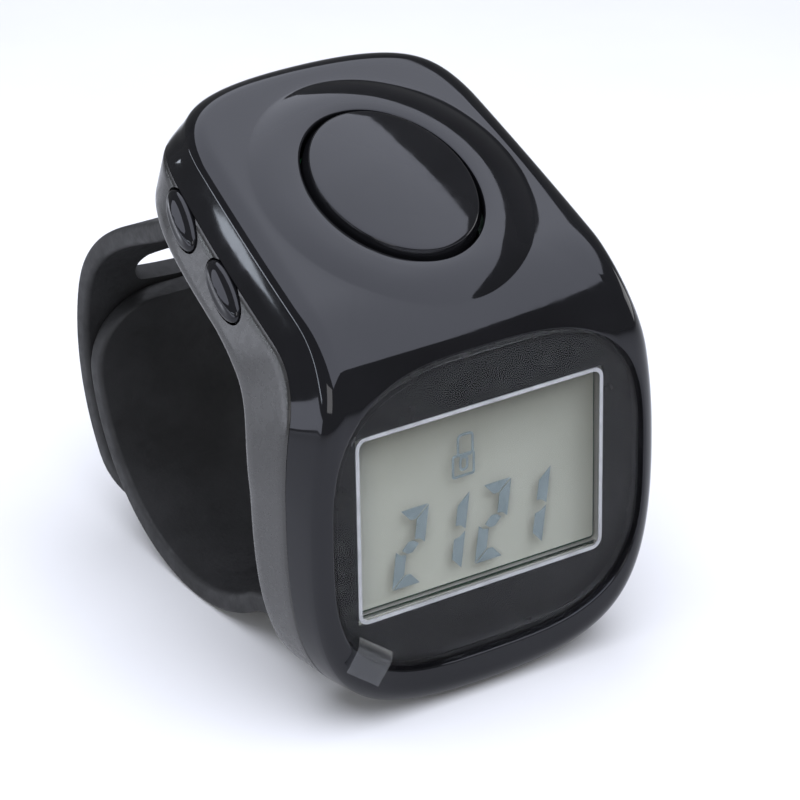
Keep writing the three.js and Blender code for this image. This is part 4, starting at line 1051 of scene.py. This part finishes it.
# %% Carry the cross-section along
def band(line, neck, tip, rows):
    """A band with a narrow neck, square shoulders and a rounded tip."""
    lengths = np.concatenate([[0], np.cumsum(np.linalg.norm(np.diff(line, axis=0), axis=1))])
    whole = lengths[-1]
    runs = [0, neck - 0.3, neck - 0.05]
    runs += list(np.linspace(neck + 0.15, whole - tip, rows))
    runs += [whole - tip * (1 - math.sin(t)) for t in np.linspace(0, math.pi / 2, 18)[1:]]
    slope = np.gradient(line, lengths, axis=0)
    grid = []
    for run in runs:
        middle = np.array([np.interp(run, lengths, line[:, k]) for k in (0, 1)])
        along = np.array([np.interp(run, lengths, slope[:, k]) for k in (0, 1)])
        along /= np.linalg.norm(along)
        side = np.array([-along[1], along[0]])
        into = max(0.0, run - whole + tip)
        half = STRAP_HALF - tip + math.sqrt(max(0.0, tip * tip - into * into))
        if run < neck:
            half = NECK_WIDTH / 2
        if run == runs[3]:
            half -= STRAP_EDGE * 0.4
        half = max(half, 0.02)
        soft = min(STRAP_EDGE, half * 0.5)
        row = [(x, *(middle + side * d)) for x, d in frame_outline(half, STRAP_THICK / 2, soft, 5)]
        grid.append(row + row[:1])
    mesh = wrapped(grid)
    bmesh.ops.remove_doubles(mesh, verts=mesh.verts, dist=1e-4)
    bmesh.ops.holes_fill(mesh, edges=[e for e in mesh.edges if not e.is_manifold], sides=0)
    bmesh.ops.recalc_face_normals(mesh, faces=mesh.faces)
    return mesh


def ring_frame(radius, degrees):
    """A frame on the ring: y along the strap, z away from the finger."""
    y, z = on_ring(radius, degrees)
    return Matrix.Translation((0, y, z)) @ Matrix.Rotation(math.radians(degrees - 90), 4, "X")


def stadium(length, height, share=1.0, columns=72):
    """A closed line with a straight middle and two round ends, shrunk towards its middle line."""
    radius, straight = height / 2, (length - height) / 2
    points = []
    for turn in np.linspace(0, 2 * math.pi, columns + 1):
        across, along = math.cos(turn) * radius * share, math.sin(turn)
        end = math.copysign(1, along) if abs(along) > 1e-9 else 0
        points.append((across, along * radius * share + end * straight * min(1, abs(along) * 1.6)))
    return points


SLOT_TURNS = (-3, -25, -47)
SLOT = (12.4, 3.4)
QUARTER = Matrix.Rotation(math.pi / 2, 4, "Z")
slot_cutters = [
    prism(stadium(*SLOT)[:-1], -2.8, 2.8, ring_frame(UPPER_RING, turn) @ QUARTER) for turn in SLOT_TURNS
]
upper_band = cut(band(upper_line, upper_neck, 6.0, 64), slot_cutters)
print("open edges of the slotted strap:", sum(not e.is_manifold for e in upper_band.edges))


def bead(anchor):
    """The round bead across the end of a strap."""
    mesh = bmesh.new()
    bmesh.ops.create_cone(mesh, cap_ends=True, segments=32, radius1=BEAD, radius2=BEAD, depth=NECK_WIDTH)
    bmesh.ops.bevel(
        mesh, geom=[e for e in mesh.edges if len(e.link_faces) == 2 and e.calc_face_angle() > 1],
        offset=0.2, segments=2, profile=0.5, affect="EDGES", material=-1,
    )
    turn = Matrix.Rotation(math.pi / 2, 4, "Y")
    bmesh.ops.transform(mesh, matrix=Matrix.Translation((0, *anchor)) @ turn, verts=mesh.verts)
    return mesh


outer_strap = piece("strap_outer", joined([upper_band, bead(UPPER_ANCHOR)]), "upper_band", sharp=50)
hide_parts("upper_strap")

# %% Add the peg to the inner strap
PEG_WIDTH = 10.5
PEG_THICK = 1.0
PEG_HEIGHT = 1.25
PEG_ROUND = 0.3
PEG_TO_SLOT_END = 0.2
peg_shift = SLOT[1] / 2 - PEG_THICK / 2 - PEG_TO_SLOT_END
peg_degrees = SLOT_TURNS[1] + math.degrees(peg_shift / (LOWER_RING + STRAP_THICK))
peg_levels = [(0.0, -PEG_ROUND, True), (1.0, -PEG_ROUND, False), (1.0, PEG_HEIGHT - PEG_ROUND, False)]
for sine, cosine in arc(0, 90, 5)[1:]:
    peg_levels.append((1 - 0.5 * (1 - cosine), PEG_HEIGHT - PEG_ROUND * (1 - sine), False))
peg_levels.append((0.0, PEG_HEIGHT, True))
peg_rings = [
    [(0, 0, height) if ends else (y, x, height) for x, y in stadium(PEG_WIDTH, PEG_THICK, share)]
    for share, height, ends in peg_levels
]
peg_mesh = closed(wrapped(peg_rings))
peg_place = ring_frame(FINGER_RADIUS + STRAP_THICK, peg_degrees)
bmesh.ops.transform(peg_mesh, matrix=peg_place, verts=peg_mesh.verts)
lower_band = band(lower_line, lower_neck, 5.0, 76)
inner_strap = piece("strap_inner", joined([lower_band, bead(LOWER_ANCHOR), peg_mesh]), "lower_band", sharp=50)
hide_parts("lower_strap")

# %% [markdown]
# ## Finishes
# Nothing on a real counter is quite even. Polished plastic has a faint waviness and fine dust, satin
# plastic a spark-eroded grain, silicone a soft cloudiness. All of it is made from noise on the object's
# own coordinates. Lengths in these textures are metres, so a scale of 1000 means one wave per millimetre.


# %% A kit for materials
def new_material(name):
    made = bpy.data.materials.new(name)
    made.use_nodes = True
    tree = made.node_tree
    shader = next(n for n in tree.nodes if n.type == "BSDF_PRINCIPLED")
    return made, tree, shader


def noise(tree, scale, detail=3.0, stretch=None):
    """Noise on the object's coordinates, with scale in waves per metre."""
    place = tree.nodes.new("ShaderNodeTexCoord").outputs["Object"]
    if stretch:
        mapping = tree.nodes.new("ShaderNodeMapping")
        mapping.inputs["Scale"].default_value = stretch
        tree.links.new(place, mapping.inputs["Vector"])
        place = mapping.outputs["Vector"]
    made = tree.nodes.new("ShaderNodeTexNoise")
    made.inputs["Scale"].default_value = scale
    made.inputs["Detail"].default_value = detail
    tree.links.new(place, made.inputs["Vector"])
    return made.outputs["Fac"]


def ramp(tree, source, low, high, start=0.35, end=0.65):
    """Spreads the middle of a noise over low to high."""
    spread = tree.nodes.new("ShaderNodeMapRange")
    for key, value in (("From Min", start), ("From Max", end), ("To Min", low), ("To Max", high)):
        spread.inputs[key].default_value = value
    tree.links.new(source, spread.inputs["Value"])
    return spread.outputs["Result"]


def colour_between(tree, source, first, second):
    blend = tree.nodes.new("ShaderNodeMix")
    blend.data_type = "RGBA"
    blend.inputs["A"].default_value = (*first, 1)
    blend.inputs["B"].default_value = (*second, 1)
    tree.links.new(source, blend.inputs["Factor"])
    return blend.outputs["Result"]


def bump(tree, source, shader, strength, distance):
    made = tree.nodes.new("ShaderNodeBump")
    made.inputs["Strength"].default_value = strength
    made.inputs["Distance"].default_value = distance
    tree.links.new(source, made.inputs["Height"])
    tree.links.new(made.outputs["Normal"], shader.inputs["Normal"])


def finish_of(name, first, second, rough, scales, bump_by, metal=0.0, specular=0.5, tint=(1, 1, 1)):
    """An opaque finish: colour and roughness drift, and a fine relief lies over it."""
    colour_scale, rough_scale, bump_scale = scales
    made, tree, shader = new_material(name)
    colour = colour_between(tree, ramp(tree, noise(tree, colour_scale), 0, 1), first, second)
    tree.links.new(colour, shader.inputs["Base Color"])
    tree.links.new(ramp(tree, noise(tree, rough_scale, 5.0), *rough), shader.inputs["Roughness"])
    bump(tree, noise(tree, bump_scale), shader, *bump_by)
    shader.inputs["Metallic"].default_value = metal
    shader.inputs["Specular IOR Level"].default_value = specular
    shader.inputs["Specular Tint"].default_value = (*tint, 1)
    return made


def clear_finish(name, tint, rough, specular, ior, through=0.985):
    """A clear finish that lets the lamps through, with a faint unevenness."""
    made, tree, shader = new_material(name)
    shader.inputs["Base Color"].default_value = (*tint, 1)
    shader.inputs["Transmission Weight"].default_value = 1.0
    shader.inputs["IOR"].default_value = ior
    shader.inputs["Specular IOR Level"].default_value = specular
    tree.links.new(ramp(tree, noise(tree, 300, 5.0), *rough), shader.inputs["Roughness"])
    bump(tree, noise(tree, 90, 1.0), shader, 0.05, 0.0002)
    open_to = tree.nodes.new("ShaderNodeBsdfTransparent")
    open_to.inputs["Color"].default_value = (through, through, through, 1)
    path = tree.nodes.new("ShaderNodeLightPath")
    mix = tree.nodes.new("ShaderNodeMixShader")
    output = next(n for n in tree.nodes if n.type == "OUTPUT_MATERIAL")
    tree.links.new(path.outputs["Is Shadow Ray"], mix.inputs["Fac"])
    tree.links.new(shader.outputs["BSDF"], mix.inputs[1])
    tree.links.new(open_to.outputs["BSDF"], mix.inputs[2])
    tree.links.new(mix.outputs["Shader"], output.inputs["Surface"])
    return made


# %% Make the finishes
# For each: two colours, the roughness, the waves per metre of colour, roughness and relief, and the relief
FINISHES = {
    "polished_black": (
        (0.0035, 0.0035, 0.0042), (0.006, 0.006, 0.007), (0.03, 0.06),
        (120, 900, 160), (0.05, 2e-4),
    ),
    "polished_button": (
        (0.004, 0.004, 0.0047), (0.007, 0.007, 0.008), (0.035, 0.07),
        (150, 1100, 210), (0.05, 2e-4),
    ),
    "satin_black": (
        (0.011, 0.0105, 0.0105), (0.016, 0.0155, 0.0155), (0.24, 0.32),
        (200, 1600, 2600), (0.06, 1e-4),
    ),
    "black_silicone": (
        (0.012, 0.012, 0.0125), (0.019, 0.019, 0.02), (0.5, 0.66),
        (260, 1500, 3800), (0.16, 1e-4),
    ),
    "black_ink": ((0.002, 0.002, 0.0022), (0.0035, 0.0035, 0.004), (0.2, 0.3), (300, 900, 500), (0.04, 1e-4)),
    "silver_ink": ((0.36, 0.36, 0.37), (0.45, 0.45, 0.46), (0.3, 0.44), (900, 1500, 6000), (0.1, 5e-5)),
    "silvery_reflector": (
        (0.72, 0.735, 0.64), (0.77, 0.785, 0.69), (0.5, 0.6),
        (240, 1400, 3000), (0.04, 5e-5),
    ),
    "switched_crystal": ((0.2, 0.25, 0.27), (0.23, 0.28, 0.3), (0.35, 0.5), (500, 900, 4000), (0.05, 5e-5)),
    "black_foil": ((0.008, 0.008, 0.008), (0.014, 0.014, 0.014), (0.55, 0.7), (400, 1500, 3000), (0.2, 1e-4)),
    "white_moulding": ((0.62, 0.61, 0.57), (0.7, 0.69, 0.65), (0.42, 0.55), (300, 1500, 2400), (0.1, 1e-4)),
    "zebra_rubber": ((0.03, 0.03, 0.03), (0.09, 0.09, 0.085), (0.6, 0.75), (2600, 1500, 3000), (0.2, 1e-4)),
    "green_board": ((0.012, 0.085, 0.03), (0.02, 0.12, 0.045), (0.28, 0.42), (700, 1500, 2600), (0.16, 1e-4)),
    "chip_resin": ((0.01, 0.01, 0.011), (0.018, 0.018, 0.019), (0.3, 0.5), (500, 1500, 1800), (0.16, 1e-4)),
    "plain_steel": ((0.5, 0.5, 0.51), (0.62, 0.62, 0.63), (0.22, 0.36), (700, 2600, 5200), (0.12, 5e-5)),
    "contact_brass": ((0.6, 0.42, 0.17), (0.7, 0.5, 0.22), (0.24, 0.38), (700, 2600, 5200), (0.12, 5e-5)),
    "amber_film": ((0.3, 0.12, 0.02), (0.42, 0.18, 0.035), (0.25, 0.35), (500, 1500, 2600), (0.1, 1e-4)),
}
MORE_OF_FINISH = {
    "polished_black": {"specular": 0.34, "tint": (0.93, 0.94, 1.0)},
    "polished_button": {"specular": 0.34, "tint": (0.93, 0.94, 1.0)},
    "satin_black": {"specular": 0.75},
    "black_silicone": {"specular": 0.35},
    "black_ink": {"specular": 0.05},
    "silver_ink": {"metal": 0.7},
    "silvery_reflector": {"specular": 0.2},
    "switched_crystal": {"specular": 0.1},
    "plain_steel": {"metal": 1.0},
    "contact_brass": {"metal": 1.0},
}
finishes = {name: finish_of(name, *row, **MORE_OF_FINISH.get(name, {})) for name, row in FINISHES.items()}
CLEAR_FINISHES = {
    "clear_window": ((0.985, 0.99, 0.99), (0.01, 0.03), 0.3, 1.16),
    "display_glass": ((0.985, 0.99, 0.98), (0.01, 0.03), 0.1, 1.1),
    "clear_film": ((0.98, 0.985, 0.99), (0.02, 0.06), 0.3, 1.1),
    "hazy_tab": ((0.75, 0.77, 0.8), (0.12, 0.22), 0.5, 1.45),
}
finishes.update({name: clear_finish(name, *row) for name, row in CLEAR_FINISHES.items()})

PIECES_OF_FINISH = {
    "polished_black": "case_top_shell",
    "polished_button": "count_button_cap side_key_rear side_key_front",
    "satin_black": "case_tray battery_cover",
    "black_silicone": "strap_outer strap_inner",
    "clear_window": "window_clear",
    "silver_ink": "window_frame_print",
    "black_ink": "window_black_print",
    "clear_film": "window_film",
    "hazy_tab": "film_tab",
    "display_glass": "display_front_glass lcd_rear_glass",
    "switched_crystal": "display_lock_sign display_digit_1 display_digit_2 display_digit_3 display_digit_4",
    "silvery_reflector": "lcd_reflector",
    "white_moulding": "lcd_holder",
    "black_foil": "lens_tape",
    "zebra_rubber": "zebra_strip",
    "green_board": "display_board switch_board",
    "chip_resin": "counter_chip",
    "amber_film": "board_flex",
    "contact_brass": "chip_capacitor contact_plus contact_minus",
    "plain_steel": (
        "clock_crystal count_dome side_switch_rear side_switch_front button_cell battery_cover_screw "
        "case_screw_rear_left case_screw_rear_right case_screw_chin_left case_screw_chin_right"
    ),
}
finished = 0
for finish, names in PIECES_OF_FINISH.items():
    for name in names.split():
        data = bpy.data.objects[name].data
        data.materials.clear()
        data.materials.append(finishes[finish])
        finished += 1
print("pieces with a finish:", finished)

# %% [markdown]
# ## Floor, lamps and camera
# The photo is a studio shot on white: one large soft panel above, whose edge is mirrored in the glossy
# top, and white surroundings. Here a pale floor curves up behind the counter and the panel hangs over it.
# On the left a narrow strip draws the bright line along the glossy wall, and a low panel lights the satin
# wall below. Two cards, at the right and at the front left, do the same for the rounded edges there.


# %% Stand it on a floor
def stage_sheet(name, rows, material):
    """A smooth sheet that belongs to the stage."""
    mesh = wrapped(rows)
    for face in mesh.faces:
        face.smooth = True
    made = as_object(name, mesh)
    made.data.materials.append(material)


PAPER, paper_tree, paper_shader = new_material("pale_paper")
paper_colour = colour_between(
    paper_tree, ramp(paper_tree, noise(paper_tree, 60, 5.0), 0, 1), (0.79, 0.79, 0.795), (0.81, 0.81, 0.815)
)
paper_tree.links.new(paper_colour, paper_shader.inputs["Base Color"])
paper_shader.inputs["Roughness"].default_value = 0.9
FLOOR_FRONT = -0.9
FLOOR_REAR = 0.45
FLOOR_ROUND = 0.3
FLOOR_HEIGHT = 1.2
FLOOR_HALF = 1.2
profile = [(FLOOR_FRONT, 0.0), (FLOOR_REAR, 0.0)]
for turn in np.linspace(0.1, math.pi / 2, 14):
    profile.append((FLOOR_REAR + FLOOR_ROUND * math.sin(turn), FLOOR_ROUND - FLOOR_ROUND * math.cos(turn)))
profile += [(FLOOR_REAR + FLOOR_ROUND, FLOOR_HEIGHT)]
view_turn = Matrix.Rotation(math.radians(-33.8), 4, "Z")
across = np.linspace(-FLOOR_HALF, FLOOR_HALF, 9)
floor_rows = [[tuple(view_turn @ Vector((x, y, z))) for y, z in profile] for x in across]
stage_sheet("floor", floor_rows, PAPER)


# %% Hang the lamps
def lamp(name, centre, size, aim, radiance, colour=(1, 1, 1)):
    """A rectangular area lamp in millimetres that looks at a point, by the radiance of its face."""
    data = bpy.data.lights.new(name, "AREA")
    data.shape = "RECTANGLE"
    data.size, data.size_y = size[0] / 1000, size[1] / 1000
    data.energy = radiance * math.pi * size[0] * size[1] * 1e-6
    data.color = colour
    made = linked(name, data)
    centre, aim = Vector(centre) / 1000, Vector(aim) / 1000
    turned = (centre - aim).to_track_quat("Z", "Y").to_matrix().to_4x4()
    made.matrix_world = Matrix.Translation(centre) @ turned
    return made


PANEL_COLOUR = (0.86, 0.89, 1.0)
panel = lamp("panel_above", (-5, -70, 200), (300, 430), (-5, -70, 0), 2.9, PANEL_COLOUR)
panel.rotation_euler = (0, 0, math.radians(9.2))
lamp("card_right", (330, -60, 60), (160, 90), (0, 0, 15), 2.6)
lamp("panel_left", (-300, 90, 32), (420, 50), (0, 0, 25), 3.0, PANEL_COLOUR)
lamp("strip_left", (-310, 130, 105), (420, 14), (0, 0, 25), 9.0, (0.85, 0.92, 1.0))
lamp("card_front", (-300, -330, 190), (200, 140), (0, 0, 15), 3.2, (1.0, 0.98, 0.95))

world = bpy.context.scene.world or bpy.data.worlds.new("studio")
bpy.context.scene.world = world
world.use_nodes = True
background = next(n for n in world.node_tree.nodes if n.type == "BACKGROUND")
background.inputs["Color"].default_value = (0.95, 0.97, 1.0, 1)
background.inputs["Strength"].default_value = 0.25

# %% [markdown]
# The camera was worked out from the photo: the outline of the case, its two given dimensions and the
# ovals fix its place, and a long lens keeps the lines nearly parallel.

# %% Set up the camera
CAMERA_PLACE = Vector((-0.11444, -0.17886, 0.12177))
RIGHT = Vector((0.833, -0.5533, 0.0008)).normalized()
FORWARD = Vector((0.4927, 0.7412, -0.4559)).normalized()
UP = RIGHT.cross(FORWARD).normalized()
camera_data = bpy.data.cameras.new("camera")
camera_data.sensor_width = 36.0
camera_data.lens = 165.6
camera_data.clip_start = 0.01
camera_data.clip_end = 10.0
camera = linked("camera", camera_data)
turned = Matrix((RIGHT, UP, -FORWARD)).transposed().to_4x4()
camera.matrix_world = Matrix.Translation(CAMERA_PLACE) @ turned
bpy.context.scene.camera = camera
bpy.context.scene.view_settings.view_transform = "Standard"
